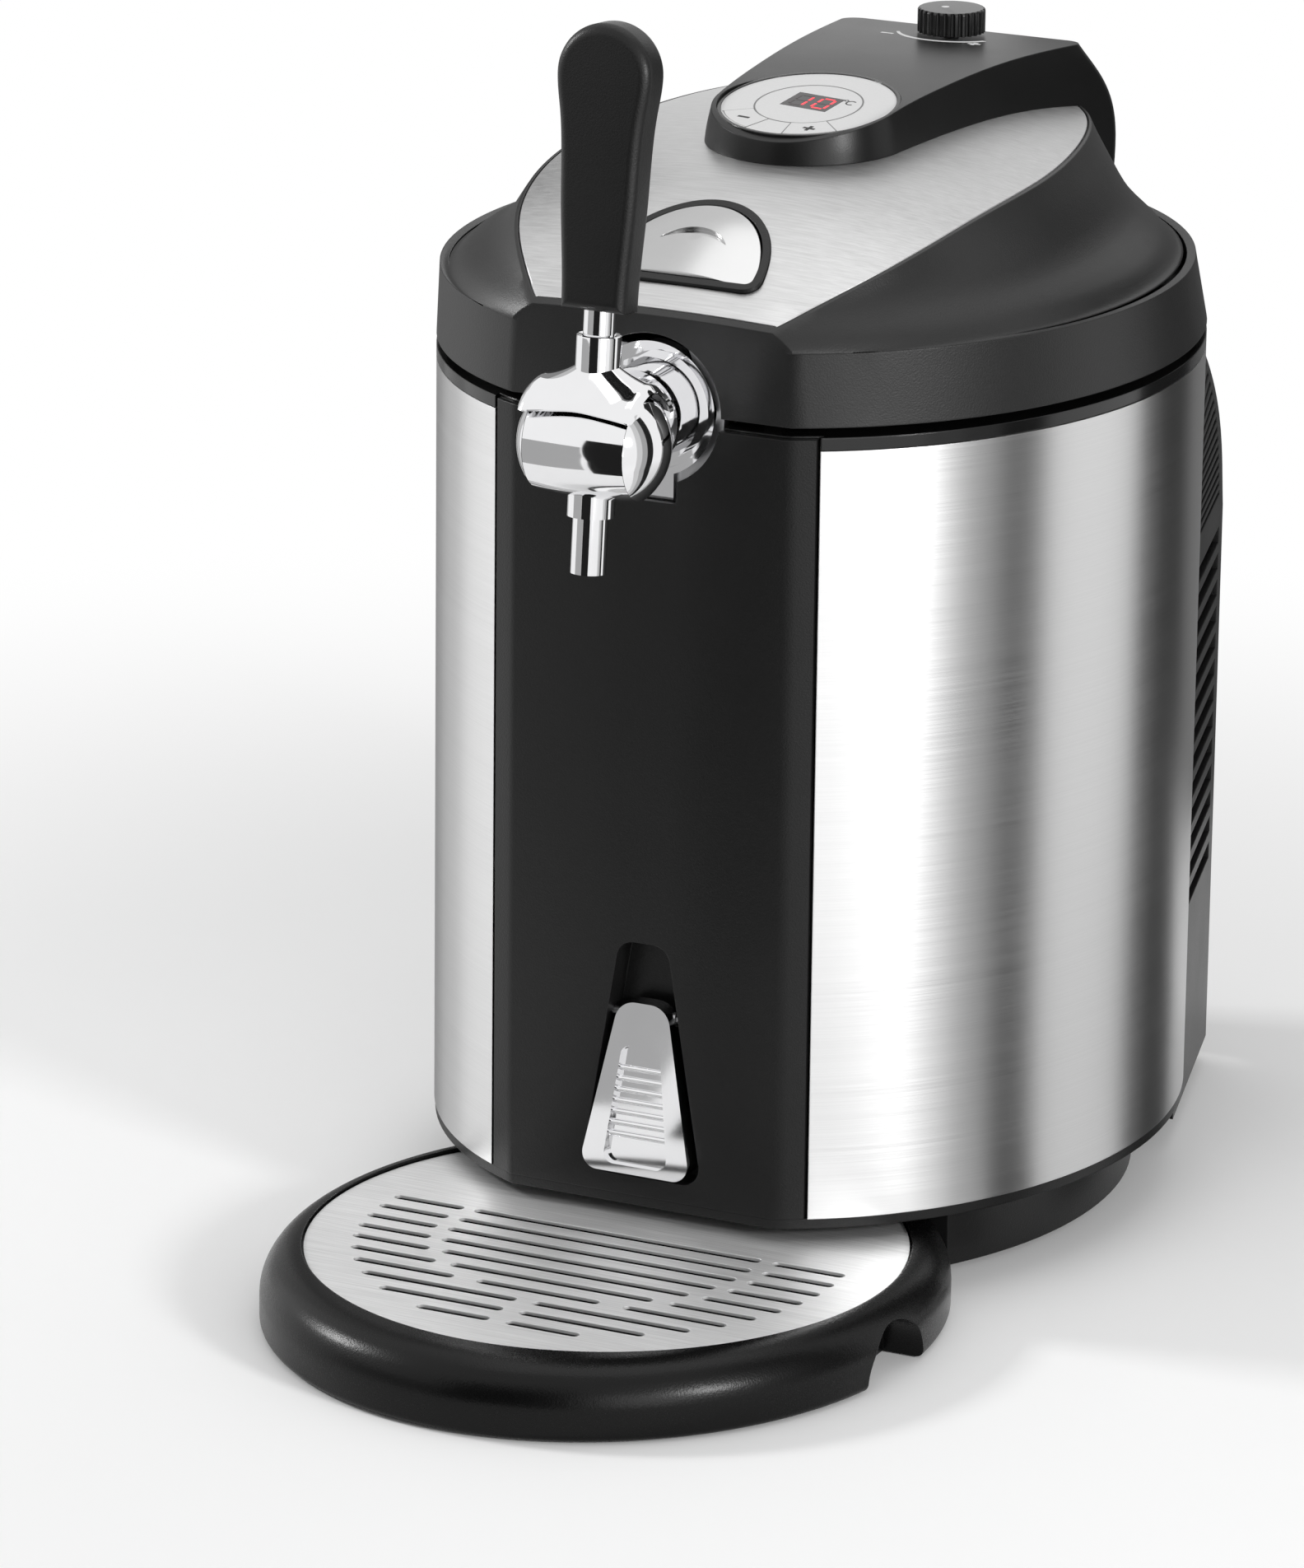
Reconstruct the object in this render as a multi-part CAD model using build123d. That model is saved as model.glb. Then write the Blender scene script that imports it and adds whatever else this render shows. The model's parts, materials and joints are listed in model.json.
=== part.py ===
from build123d import *
from math import acos, atan2, cos, degrees, hypot, radians, sin, tan
import os

# Overall size and shared clearances. Front is -Y, right is +X, the origin is on the table
overall_width = 275.0
overall_depth = 495.0
overall_height = 475.0
front_y = -overall_depth / 2
back_y = overall_depth / 2
overrun = 5.0
seat_gap = 0.3
slide_gap = 0.4
run_gap = 0.06

# Body plan, an ellipse with a flat front
body_half_width = overall_width / 2
body_half_length = 160.0
body_centre_y = 63.0
panel_y = -84.9
shell_bottom_z = 34.3
shell_top_z = 320.6
shell_wall = 1.0
shell_rear_y = 140.0

# Base pan and feet
base_under_z = 30.5
floor_top_z = 38.0
base_rim_inset = 0.4
foot_ring_inset = 19.0
foot_ring_wall = 3.0
foot_ring_front_y = -22.0
foot_height = 3.0
foot_radius = 9.0
foot_plug_radius = 4.0
foot_plug_height = 5.0
foot_boss_radius = 11.0
foot_front_x = 86.0
foot_front_y = 5.0
foot_rear_x = 64.0
foot_rear_y = 165.0

# Front panel and the pocket of the release lever
panel_half_width = 62.6
panel_seam = 1.2
panel_wall = 2.5
panel_top_z = 324.7
pocket_low_z = 41.5
pocket_high_z = 131.0
pocket_low_half = 24.3
pocket_high_half = 9.6
pocket_corner = 7.0
pocket_back_y = -71.0
pocket_wall = 2.0

# Release lever on its pin
release_low_z = 44.5
release_high_z = 108.0
release_low_half = 22.4
release_high_half = 9.6
release_low_corner = 6.0
release_high_corner = 8.0
release_low_y = -91.5
release_high_y = -84.0
release_back_y = -77.5
release_scoop_low_z = 47.5
release_scoop_high_z = 92.0
release_scoop_low_half = 13.0
release_scoop_high_half = 7.5
release_scoop_corner = 4.0
release_scoop_depth = 3.0
release_rib_count = 7
release_rib_low_z = 58.0
release_rib_pitch = 4.1
release_rib_radius = 1.1
release_eye_radius = 3.2
release_pin_radius = 1.5
release_pin_z = 102.0
release_pin_y = -78.5
release_eye_half = 7.0
release_spring_wall = 0.8
release_spring_length = 3.6

# Top deck
deck_low_z = 320.9
deck_top_z = 325.5
deck_notch_half = 28.0
deck_notch_back_y = -54.0
hinge_shelf_half = 40.0

# Keg chamber and its jacket
chamber_centre_y = 45.0
chamber_radius = 92.0
chamber_wall = 1.5
jacket_radius = 111.0

# Rear housing
housing_front_half = 117.0
housing_rear_half = 88.5
housing_corner = 14.0
housing_wall = 2.5
housing_low_z = 12.0
housing_top_z = 320.5
housing_curve_low_z = 228.0
housing_curve_side = 24.0
housing_curve_rear = 18.0
housing_curve_shares = ((0.0, 0.0), (0.36, 0.08), (0.66, 0.34), (0.85, 0.66), (1.0, 1.0))
louvre_margin_front = 12.0
louvre_margin_rear = 20.0
fine_louvre_low_z = 236.0
fine_louvre_pitch = 3.6
fine_louvre_count = 18
fine_louvre_height = 1.9
coarse_louvre_low_z = 92.0
coarse_louvre_pitch = 10.6
coarse_louvre_count = 13
coarse_louvre_height = 6.4
grille_pitch = 9.0
grille_slot_height = 4.5
grille_radius = 46.0
housing_screw_x = 69.0
housing_screw_low_z = 30.0
housing_screw_high_z = 212.0
housing_screw_radius = 3.2
housing_screw_shank = 1.6
housing_screw_length = 9.0
housing_screw_head = 1.8

# Cooling unit, from the chamber to the fan
cooler_z = 190.0
block_half = 25.0
block_back_y = 166.0
module_half = 20.0
module_thickness = 4.0
sink_half_width = 46.0
sink_half_height = 46.0
sink_base = 6.0
sink_depth = 36.0
fin_pitch = 6.0
fin_thickness = 1.6
fan_half = 46.0
fan_depth = 25.0
fan_bore = 43.0
fan_corner = 5.0
fan_hub_radius = 17.0
fan_motor_radius = 15.0
fan_arm_half = 2.5
fan_plate = 3.0
fan_blade_count = 7
fan_blade_reach = 41.5
fan_blade_thickness = 1.8
fan_blade_pitch_angle = 35.0
fan_axle_radius = 2.0

# Mains side
board_half_width = 55.0
board_low_y = 168.0
board_high_y = 222.0
board_thickness = 1.6
board_post_height = 5.0
board_post_radius = 3.0
transformer_half = 16.0
transformer_height = 28.0
capacitor_radius = 7.0
capacitor_height = 25.0
inlet_x = 0.0
inlet_z = 64.0
inlet_half_width = 14.0
inlet_half_height = 10.0
inlet_length = 19.0
inlet_socket_depth = 14.0
inlet_wall = 2.5
inlet_pin_half_width = 2.0
inlet_pin_half_height = 1.0
inlet_pin_pitch = 7.0

# Tap
tap_z = 329.5
barrel_y = -128.8
tap_lean = 5.0
barrel_radius = 18.4
barrel_half_length = 23.8
barrel_end_round = 6.0
barrel_cavity_radius = 15.0
barrel_cavity_half = 13.0
cap_seam_x = 19.2
cap_seam = 0.25
cap_plug_radius = 13.0
cap_plug_depth = 1.2
cap_dome_angle = 25.0
cap_crown_share = 0.25
cap_flat_radius = 2.0
recess_radius = 27.5
flange_radius = 24.5
flange_back_y = -78.0
flange_thickness = 3.0
flange_lip_width = 2.4
flange_lip_height = 2.0
flange_boss_radius = 19.5
flange_boss_height = 5.0
flange_tab_half = 8.0
flange_tab_reach = 33.0
flange_tab_gap = 3.0
shank_radius = 16.0
shank_front_radius = 15.0
shank_ring_radius = 17.8
shank_ring_front_y = -99.0
shank_ring_length = 3.5
shank_thread_radius = 10.0
shank_end_y = -66.5
shank_bore_radius = 5.8
shank_guide_back_y = -101.0
bracket_half = 26.0
bracket_low_z = 288.0
bracket_high_z = 351.0
bracket_thickness = 4.0
bracket_foot_inner = 19.5
bracket_foot_high_z = 298.0
nut_radius = 14.0
nut_thickness = 5.0
nipple_radius = 4.4
nipple_bore = 2.6
nipple_end_y = -57.5
nipple_barb_radius = 5.2
nipple_barb_length = 2.5
nipple_collar_radius = 8.0
nipple_collar_length = 2.0
seal_wire = 1.2
plunger_radius = 3.0
plunger_hook_half = 3.0
plunger_hook_front = 2.9
plunger_hook_back = 6.2
plunger_hook_drop = 7.5
plunger_head_radius = 5.2
plunger_head_length = 5.0
collar_radius = 8.4
collar_top = 15.5
collar_bottom = 27.6
spout_radius = 6.3
spout_bore = 4.9
spout_bottom = 47.9

# Tap lever
hood_wall = 2.4
hood_gap = 0.3
hood_edge = 11.2
hood_half_length = 22.6
hood_wave_half = 19.5
hood_wave_rise = 3.6
neck_radius = 8.0
neck_top = 36.7
neck_base_radius = 12.5
neck_base = 19.0
neck_foot = 25.5
stem_radius = 5.8
stem_arm_radius = 4.0
stem_eye_radius = 5.0
stem_eye_half = 4.0
stem_tip_radius = 3.0
stem_tip_reach = 9.0
stem_top = 66.0
lever_pin_radius = 2.0
lever_pin_half = 17.5
slot_back_angle = 24.0
slot_front_angle = 53.0
handle_bottom = 45.4
handle_width_low = 25.0
handle_width_mid = 29.0
handle_width_high = 36.0
handle_mid_share = 0.45
handle_high_share = 0.92
handle_depth = 15.5
handle_forward = 1.0
handle_round = 4.0

# Lid
lid_bottom_z = 329.1
lid_rim_z = 356.0
lid_edge_z = 398.0
lid_front_set = 1.0
lid_wall = 3.4
lid_section_shares = (
    (0.0, 0.982, 0.993, 0.9325),
    (0.119, 0.897, 0.997, 0.897),
    (0.286, 0.817, 0.972, 0.883),
    (0.476, 0.753, 0.963, 0.879),
    (0.667, 0.708, 0.969, 0.876),
    (0.81, 0.673, 0.974, 0.875),
    (0.929, 0.646, 0.974, 0.876),
    (1.095, 0.616, 0.973, 0.879),
    (1.21, 0.600, 0.972, 0.881),
)
crown_low_z = 363.6
crown_rise = 39.4
crown_cross_radius = 440.0
crown_shares = (
    (-0.06, -0.27, 0.42),
    (0.0, 0.0, 0.46),
    (0.095, 0.405, 0.72),
    (0.19, 0.705, 0.92),
    (0.31, 0.905, 1.0),
    (0.46, 0.985, 1.0),
    (0.60, 1.0, 1.0),
    (0.77, 0.92, 1.0),
    (0.92, 0.76, 1.0),
    (1.06, 0.54, 1.0),
)
plate_thickness = 1.0
plate_inset = 1.7
plate_front_inset = 3.4
plate_groove = 0.5
cover_low_z = 341.0
cover_thickness = 2.0
cover_gap = 0.6
cover_notch_half = 31.0
cover_notch_back_y = -66.8
rib_radius = 100.0
rib_wall = 2.5
gasket_radius = 101.5
gasket_width = 5.0
lid_boss_radius = 4.5
lid_boss_x = 92.0
lid_boss_front_y = -8.0
lid_boss_rear_y = 128.0
lid_screw_radius = 1.7
lid_screw_head_radius = 3.4
lid_screw_head = 2.0
lid_screw_depth = 9.0

# Lid hinge
hinge_y = 228.5
hinge_z = 331.0
hinge_knuckle_radius = 5.0
hinge_pin_radius = 2.5
hinge_lug_half = 26.0
hinge_ear_width = 8.0
hinge_lug_top_z = 336.0

# Lid button and latch
button_y = -47.7
button_tilt = 24.5
button_lift = -0.3
surround_half_width = 33.5
surround_length = 48.4
surround_corner = 6.0
button_corner = 2.4
surround_width = 3.4
surround_proud = 0.9
surround_depth = 17.0
surround_floor = 2.0
button_gap = 0.4
button_proud = 3.0
button_depth = 6.0
button_edge = 4.0
button_dome_radius = 150.0
swoosh_depth = 1.5
swoosh_outer_at = -14.0
swoosh_outer_half = 16.2
swoosh_outer_length = 19.2
swoosh_inner_at = -16.0
swoosh_inner_half = 21.0
swoosh_inner_length = 17.2
button_travel = 3.0
button_spring_radius = 6.5
button_spring_wall = 1.4
latch_half = 44.0
latch_tongue_width = 8.0
latch_front_y = -66.0
latch_thickness = 3.0
latch_height = 7.0
latch_tongue_low_z = 321.5
latch_travel = 3.0
latch_slot_gap = 1.0

# Control head
disc_y = 46.5
disc_z = 413.9
disc_tilt = 8.1
disc_turn = -8.0
bezel_radius = 33.5
bezel_width = 1.4
bezel_height = 4.6
disc_gap = 0.1
disc_drop = 0.3
window_half_width = 9.8
window_half_height = 7.1
window_at = 2.5
key_inner_radius = 20.2
key_outer_radius = 31.0
key_start_angle = 14.7
key_span_angle = 36.0
key_gap = 0.25
key_thickness = 2.2
key_proud = 0.15
head_wall = 2.5
head_low_z = 352.0
head_front_radius = 38.0
head_back_half = 47.6
head_back_y = 188.6
head_back_corner = 7.0
head_top_z = 417.8
head_section_shares = (
    (0.0, 1.0, 1.27, 1.085),
    (0.66, 1.0, 1.21, 1.06),
    (0.77, 0.985, 1.16, 1.04),
    (0.88, 0.95, 1.09, 1.015),
    (1.04, 0.885, 0.97, 0.995),
)
head_top_shares = (
    (-0.05, -0.29),
    (0.03, -0.185),
    (0.42, -0.012),
    (0.66, 0.0),
    (0.93, -0.035),
    (1.3, -0.12),
)
control_board_radius = 19.0
control_board_at = 4.0
control_board_thickness = 1.6
control_post_radius = 2.0
control_post_height = 0.8

# Pressure knob and gas parts
knob_y = 174.9
knob_low_z = 416.6
knob_top_z = 425.6
knob_radius = 12.8
knob_flute_count = 28
knob_flute_radius = 0.9
knob_top_round = 1.0
spindle_radius = 3.0
spindle_low_z = 396.0
spindle_high_z = 422.0
boss_radius = 14.0
boss_low_z = 405.0
regulator_radius = 12.0
regulator_low_z = 372.0
regulator_hole_gap = 1.5
cartridge_radius = 9.3
cartridge_length = 62.0
cartridge_neck_radius = 4.0
cartridge_neck_length = 7.0
cartridge_z = 381.0
cartridge_end_round = 4.0
outlet_radius = 4.0
outlet_bore = 2.0
outlet_low_z = 333.0

# Drip tray and grid
tray_centre_y = -112.6
tray_half_width = 122.4
tray_half_length = -front_y + tray_centre_y
tray_low_z = 0.6
tray_top_z = 27.0
tray_top_round = 16.0
tray_bottom_round = 3.0
tray_wall = 3.0
grid_half_width = 108.7
grid_half_length = 111.8
grid_top_z = 25.6
grid_thickness = 1.2
grid_gap = 0.8
grid_ledge = 5.0
slot_centre_y = -115.0
slot_outer_radius = 91.0
slot_inner_radius = 63.0
slot_disc_radius = 58.5
slot_pitch = 10.65
slot_width = 4.2
slot_rows = 8
slot_middle_gap = 6.5
notch_y = -125.5
notch_radius = 20.0
notch_depth = 16.0


def prism(face, low, high):
    return Pos(0, 0, low) * extrude(face, amount=high - low, dir=(0, 0, 1))


def slab_y(face, near, far):
    return Pos(0, near, 0) * extrude(Plane.XZ * face, amount=far - near, dir=(0, 1, 0))


def slab_x(face, half):
    return extrude(Plane.YZ * face, amount=half, both=True)


def block(x_low, x_high, y_low, y_high, z_low, z_high):
    size = Box(x_high - x_low, y_high - y_low, z_high - z_low)
    return Pos((x_low + x_high) / 2, (y_low + y_high) / 2, (z_low + z_high) / 2) * size


def rod_x(radius, low, high, y, z):
    return Pos((low + high) / 2, y, z) * Rot(0, 90, 0) * Cylinder(radius, high - low)


def rod_y(radius, low, high, x, z):
    return Pos(x, (low + high) / 2, z) * Rot(90, 0, 0) * Cylinder(radius, high - low)


def rod_z(radius, low, high, x, y):
    return Pos(x, y, (low + high) / 2) * Cylinder(radius, high - low)


def body_plan(inset):
    oval = Pos(0, body_centre_y) * Ellipse(body_half_width - inset, body_half_length - inset)
    keep = Pos(0, panel_y + inset + overall_depth / 2) * Rectangle(overall_width, overall_depth)
    return oval & keep


# Rear housing plan: its sides run straight from the steel shells to rounded rear corners
housing_front_y = shell_rear_y + seat_gap
housing_lean = atan2(housing_front_half - housing_rear_half, back_y - housing_front_y)
housing_wall_across = housing_wall / cos(housing_lean)


def housing_half(y):
    return housing_front_half - (y - housing_front_y) * tan(housing_lean)


def housing_plan(front, inset, tuck=0):
    across = inset / cos(housing_lean)
    rear = back_y - inset - tuck * housing_curve_rear
    rear_half = housing_half(back_y - inset) - across - tuck * housing_curve_side
    points = [(housing_half(front) - across, front), (rear_half, rear)]
    mirrored = [(-x, y) for x, y in reversed(points)]
    outline = Polygon(*points, *mirrored, align=None)
    return fillet(outline.vertices().group_by(Axis.Y)[-1], housing_corner - inset)


# Upright up to the curve, then tucked in towards the top
def housing_form(front, low, inset):
    form = prism(housing_plan(front, inset), low, housing_curve_low_z)
    rise = housing_top_z - inset - housing_curve_low_z
    steps = [Pos(0, 0, housing_curve_low_z + height * rise) * housing_plan(front, inset, tuck)
             for height, tuck in housing_curve_shares]
    return form + loft(steps)


def floor_plan(inset):
    plan = body_plan(inset)
    front_zone = Pos(0, shell_rear_y - overall_depth / 2) * Rectangle(overall_width, overall_depth)
    rear_zone = housing_plan(shell_rear_y - overrun, housing_wall + seat_gap)
    return (plan & front_zone) + (plan & rear_zone)


def foot_places():
    front = [(side * foot_front_x, foot_front_y) for side in (-1, 1)]
    rear = [(side * foot_rear_x, foot_rear_y) for side in (-1, 1)]
    return front + rear


def make_base_pan():
    pan = prism(floor_plan(base_rim_inset), base_under_z, shell_bottom_z)
    pan += prism(floor_plan(panel_wall), shell_bottom_z, floor_top_z)
    ring = body_plan(foot_ring_inset) - body_plan(foot_ring_inset + foot_ring_wall)
    keep = block(-body_half_width, body_half_width, foot_ring_front_y, back_y, 0, base_under_z)
    pan += prism(ring, foot_height, base_under_z) & keep
    wall_back_y = foot_ring_front_y + foot_ring_wall
    front_wall = block(-body_half_width, body_half_width, foot_ring_front_y, wall_back_y,
                       foot_height, base_under_z)
    pan += front_wall & prism(body_plan(foot_ring_inset), foot_height, base_under_z)
    for x, y in foot_places():
        pan += rod_z(foot_boss_radius, foot_height, base_under_z, x, y)
        pan -= rod_z(foot_plug_radius, foot_height - overrun, foot_height + foot_plug_height, x, y)
    return pan


def make_rubber_feet():
    feet = Part()
    for x, y in foot_places():
        feet += rod_z(foot_radius, 0, foot_height, x, y)
        feet += rod_z(foot_plug_radius, foot_height, foot_height + foot_plug_height, x, y)
    return feet


# The panel and the shells share one skin, parted by the seam beside the panel
def skin(wall, low, high):
    return prism(body_plan(0) - body_plan(wall), low, high)


def panel_zone(half, low, high):
    return block(-half, half, panel_y - overrun, body_centre_y, low, high)


def tapered_face(low, high, low_half, high_half, low_corner, high_corner):
    outline = Polygon((-low_half, low), (low_half, low), (high_half, high), (-high_half, high), align=None)
    outline = fillet(outline.vertices().group_by(Axis.Y)[0], low_corner)
    return fillet(outline.vertices().group_by(Axis.Y)[-1], high_corner)


def make_front_panel():
    panel = skin(panel_wall, shell_bottom_z, panel_top_z)
    panel &= panel_zone(panel_half_width, shell_bottom_z, panel_top_z)
    opening = tapered_face(pocket_low_z, pocket_high_z, pocket_low_half, pocket_high_half,
                           pocket_corner, pocket_corner)
    cup = tapered_face(pocket_low_z - pocket_wall, pocket_high_z + pocket_wall,
                       pocket_low_half + pocket_wall, pocket_high_half + pocket_wall,
                       pocket_corner + pocket_wall, pocket_corner + pocket_wall)
    panel += slab_y(cup, panel_y + panel_wall, pocket_back_y)
    panel -= slab_y(opening, panel_y - overrun, pocket_back_y - pocket_wall)
    panel -= rod_x(release_pin_radius, -pocket_low_half, pocket_low_half, release_pin_y, release_pin_z)
    panel -= rod_y(recess_radius, panel_y - overrun, panel_y + panel_wall + overrun, 0, tap_z)
    notch_half = flange_tab_half + flange_tab_gap
    panel -= block(-notch_half, notch_half, panel_y - overrun, panel_y + panel_wall + overrun,
                   tap_z - flange_tab_reach - slide_gap, tap_z)
    return panel


def make_side_shells():
    shell = skin(shell_wall, shell_bottom_z, shell_top_z)
    inner = panel_half_width + panel_seam
    right = shell & block(inner, overall_width, panel_y - overrun, shell_rear_y, shell_bottom_z, shell_top_z)
    return right, mirror(right, Plane.YZ)


def make_top_deck():
    deck = prism(body_plan(0), deck_low_z, deck_top_z)
    deck -= skin(panel_wall + seat_gap, deck_low_z - overrun, deck_top_z + overrun) & panel_zone(
        panel_half_width + panel_seam, deck_low_z - overrun, deck_top_z + overrun)
    shelf_back_y = hinge_y + hinge_knuckle_radius
    deck += block(-hinge_shelf_half, hinge_shelf_half, body_centre_y + chamber_radius, shelf_back_y,
                  deck_low_z, deck_top_z)
    deck -= rod_z(chamber_radius, deck_low_z - overrun, deck_top_z + overrun, 0, chamber_centre_y)
    deck -= block(-deck_notch_half, deck_notch_half, panel_y - overrun, deck_notch_back_y,
                  deck_low_z - overrun, deck_top_z + overrun)
    for side in (-1, 1):
        deck -= latch_slot(side, deck_low_z - overrun, deck_top_z + overrun)
    return deck


def latch_slot(side, low, high):
    outer = latch_half + latch_slot_gap
    inner = latch_half - latch_tongue_width - latch_slot_gap
    slot = block(inner, outer, latch_front_y - latch_slot_gap,
                 latch_front_y + latch_thickness + latch_travel + latch_slot_gap, low, high)
    return slot if side > 0 else mirror(slot, Plane.YZ)


def make_keg_chamber():
    outer = rod_z(chamber_radius + chamber_wall, floor_top_z, deck_low_z, 0, chamber_centre_y)
    return outer - rod_z(chamber_radius, floor_top_z + chamber_wall, deck_low_z + overrun, 0, chamber_centre_y)


def make_insulation_jacket():
    outer = rod_z(jacket_radius, floor_top_z, deck_low_z, 0, chamber_centre_y)
    outer -= rod_z(chamber_radius + chamber_wall, floor_top_z - overrun, deck_low_z + overrun,
                   0, chamber_centre_y)
    window = block(-block_half, block_half, chamber_centre_y, back_y,
                   cooler_z - block_half, cooler_z + block_half)
    return outer - window


def make_cold_block():
    solid = block(-block_half, block_half, chamber_centre_y + chamber_radius / 2, block_back_y,
                  cooler_z - block_half, cooler_z + block_half)
    return solid - rod_z(chamber_radius + chamber_wall, floor_top_z, deck_low_z, 0, chamber_centre_y)


def make_cooling_module():
    return block(-module_half, module_half, block_back_y, block_back_y + module_thickness,
                 cooler_z - module_half, cooler_z + module_half)


sink_y = block_back_y + module_thickness
fan_y = sink_y + sink_depth


def make_heat_sink():
    low, high = cooler_z - sink_half_height, cooler_z + sink_half_height
    sink = block(-sink_half_width, sink_half_width, sink_y, sink_y + sink_base, low, high)
    count = int(sink_half_width // fin_pitch)
    for step in range(-count, count + 1):
        x = step * fin_pitch
        sink += block(x - fin_thickness / 2, x + fin_thickness / 2, sink_y + sink_base, fan_y, low, high)
    return sink


def make_fan_frame():
    square = RectangleRounded(2 * fan_half, 2 * fan_half, fan_corner)
    frame = slab_y(Pos(0, cooler_z) * square, fan_y, fan_y + fan_depth)
    frame -= rod_y(fan_bore, fan_y - overrun, fan_y + fan_depth - fan_plate, 0, cooler_z)
    ring = rod_y(fan_bore, fan_y + fan_depth - fan_plate, fan_y + fan_depth + overrun, 0, cooler_z)
    plate_low_y = fan_y + fan_depth - fan_plate
    cross = block(-fan_bore, fan_bore, plate_low_y, fan_y + fan_depth,
                  cooler_z - fan_arm_half, cooler_z + fan_arm_half)
    cross += block(-fan_arm_half, fan_arm_half, plate_low_y, fan_y + fan_depth,
                   cooler_z - fan_bore, cooler_z + fan_bore)
    cross += rod_y(fan_motor_radius, plate_low_y, fan_y + fan_depth, 0, cooler_z)
    frame -= ring - cross
    frame += rod_y(fan_axle_radius, fan_y + fan_depth / 2, fan_y + fan_depth - fan_plate, 0, cooler_z)
    return frame


def make_fan_rotor():
    low = fan_y + fan_plate
    high = fan_y + fan_depth - fan_plate - seat_gap
    rotor = rod_y(fan_hub_radius, low, high, 0, cooler_z)
    blade_mid = (fan_hub_radius + fan_blade_reach) / 2
    blade_length = fan_blade_reach - fan_hub_radius + fan_blade_thickness
    blade_chord = (high - low) - fan_plate
    blade = Pos(blade_mid, 0, 0) * Rot(fan_blade_pitch_angle, 0, 0) * Box(
        blade_length, blade_chord, fan_blade_thickness)
    for step in range(fan_blade_count):
        turn = Rot(0, step * 360 / fan_blade_count, 0)
        rotor += Pos(0, (low + high) / 2, cooler_z) * turn * blade
    hole_front = fan_y + fan_depth / 2 - seat_gap
    return rotor - rod_y(fan_axle_radius + run_gap, hole_front, high + overrun, 0, cooler_z)


def make_rear_housing():
    housing = housing_form(housing_front_y, housing_low_z, 0)
    housing -= housing_form(housing_front_y - overrun, housing_low_z - overrun, housing_wall)
    housing -= rod_z(jacket_radius + slide_gap, housing_low_z, housing_top_z + overrun, 0, chamber_centre_y)
    for side in (-1, 1):
        for z, height in louvre_rows():
            housing -= louvre(side, z, height)
    for z in grille_rows():
        reach = (grille_radius ** 2 - (z - cooler_z) ** 2) ** 0.5
        housing -= block(-reach, reach, back_y - 2 * housing_wall, back_y + overrun,
                         z - grille_slot_height / 2, z + grille_slot_height / 2)
    housing -= block(inlet_x - inlet_half_width, inlet_x + inlet_half_width,
                     back_y - overrun, back_y + overrun,
                     inlet_z - inlet_half_height, inlet_z + inlet_half_height)
    for x, z in housing_screw_places():
        housing -= rod_y(housing_screw_shank, back_y - overrun, back_y + overrun, x, z)
        housing -= rod_y(housing_screw_radius, back_y - housing_screw_head, back_y + overrun, x, z)
    return housing


def louvre_rows():
    fine = [(fine_louvre_low_z + row * fine_louvre_pitch, fine_louvre_height)
            for row in range(fine_louvre_count)]
    coarse = [(coarse_louvre_low_z + row * coarse_louvre_pitch, coarse_louvre_height)
              for row in range(coarse_louvre_count)]
    return fine + coarse


def louvre(side, z, height):
    low, high = housing_front_y + louvre_margin_front, back_y - louvre_margin_rear
    middle = (low + high) / 2
    length = (high - low) / cos(housing_lean)
    cut = Box(6 * housing_wall, length, height)
    x = housing_half(middle) - housing_wall_across / 2
    return Pos(side * x, middle, z) * Rot(0, 0, side * degrees(housing_lean)) * cut


def grille_rows():
    count = int(grille_radius // grille_pitch)
    return [cooler_z + step * grille_pitch for step in range(-count, count + 1)]


def housing_screw_places():
    return [(side * housing_screw_x, z) for side in (-1, 1)
            for z in (housing_screw_low_z, housing_screw_high_z)]


def make_housing_screws():
    screws = Part()
    for x, z in housing_screw_places():
        screws += rod_y(housing_screw_radius, back_y - housing_screw_head, back_y - seat_gap, x, z)
        screws += rod_y(housing_screw_shank, back_y - housing_screw_length, back_y - housing_screw_head, x, z)
    return screws


def make_power_board():
    low = floor_top_z + board_post_height
    top = low + board_thickness
    board = block(-board_half_width, board_half_width, board_low_y, board_high_y, low, top)
    middle = (board_low_y + board_high_y) / 2
    for side in (-1, 1):
        for y in (board_low_y + 2 * board_post_radius, middle):
            x = side * (board_half_width - 2 * board_post_radius)
            board += rod_z(board_post_radius, floor_top_z, low, x, y)
    board += block(-transformer_half, transformer_half, middle - transformer_half, middle + transformer_half,
                   top, top + transformer_height)
    for side in (-1, 1):
        board += rod_z(capacitor_radius, top, top + capacitor_height, side * board_half_width / 2, middle)
    return board


def make_power_inlet():
    low_y = back_y - inlet_length
    body = block(inlet_x - inlet_half_width, inlet_x + inlet_half_width, low_y, back_y - seat_gap,
                 inlet_z - inlet_half_height, inlet_z + inlet_half_height)
    body -= block(inlet_x - inlet_half_width + inlet_wall, inlet_x + inlet_half_width - inlet_wall,
                  back_y - inlet_socket_depth, back_y + overrun,
                  inlet_z - inlet_half_height + inlet_wall, inlet_z + inlet_half_height - inlet_wall)
    for step in (-1, 0, 1):
        x = inlet_x + step * inlet_pin_pitch
        body += block(x - inlet_pin_half_height, x + inlet_pin_half_height, back_y - inlet_socket_depth,
                      back_y - inlet_socket_depth / 2,
                      inlet_z - inlet_pin_half_width, inlet_z + inlet_pin_half_width)
    return body


# Lid hinge on the deck's rear shelf
def make_hinge_bracket():
    ears = Part()
    for side in (-1, 1):
        inner = hinge_lug_half + slide_gap
        outer = inner + hinge_ear_width
        ear = rod_x(hinge_knuckle_radius, inner, outer, hinge_y, hinge_z)
        ear += block(inner, outer, hinge_y - hinge_knuckle_radius, hinge_y + hinge_knuckle_radius,
                     deck_top_z, hinge_z)
        ear -= rod_x(hinge_pin_radius, inner - overrun, outer + overrun, hinge_y, hinge_z)
        ears += ear if side > 0 else mirror(ear, Plane.YZ)
    return ears


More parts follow.
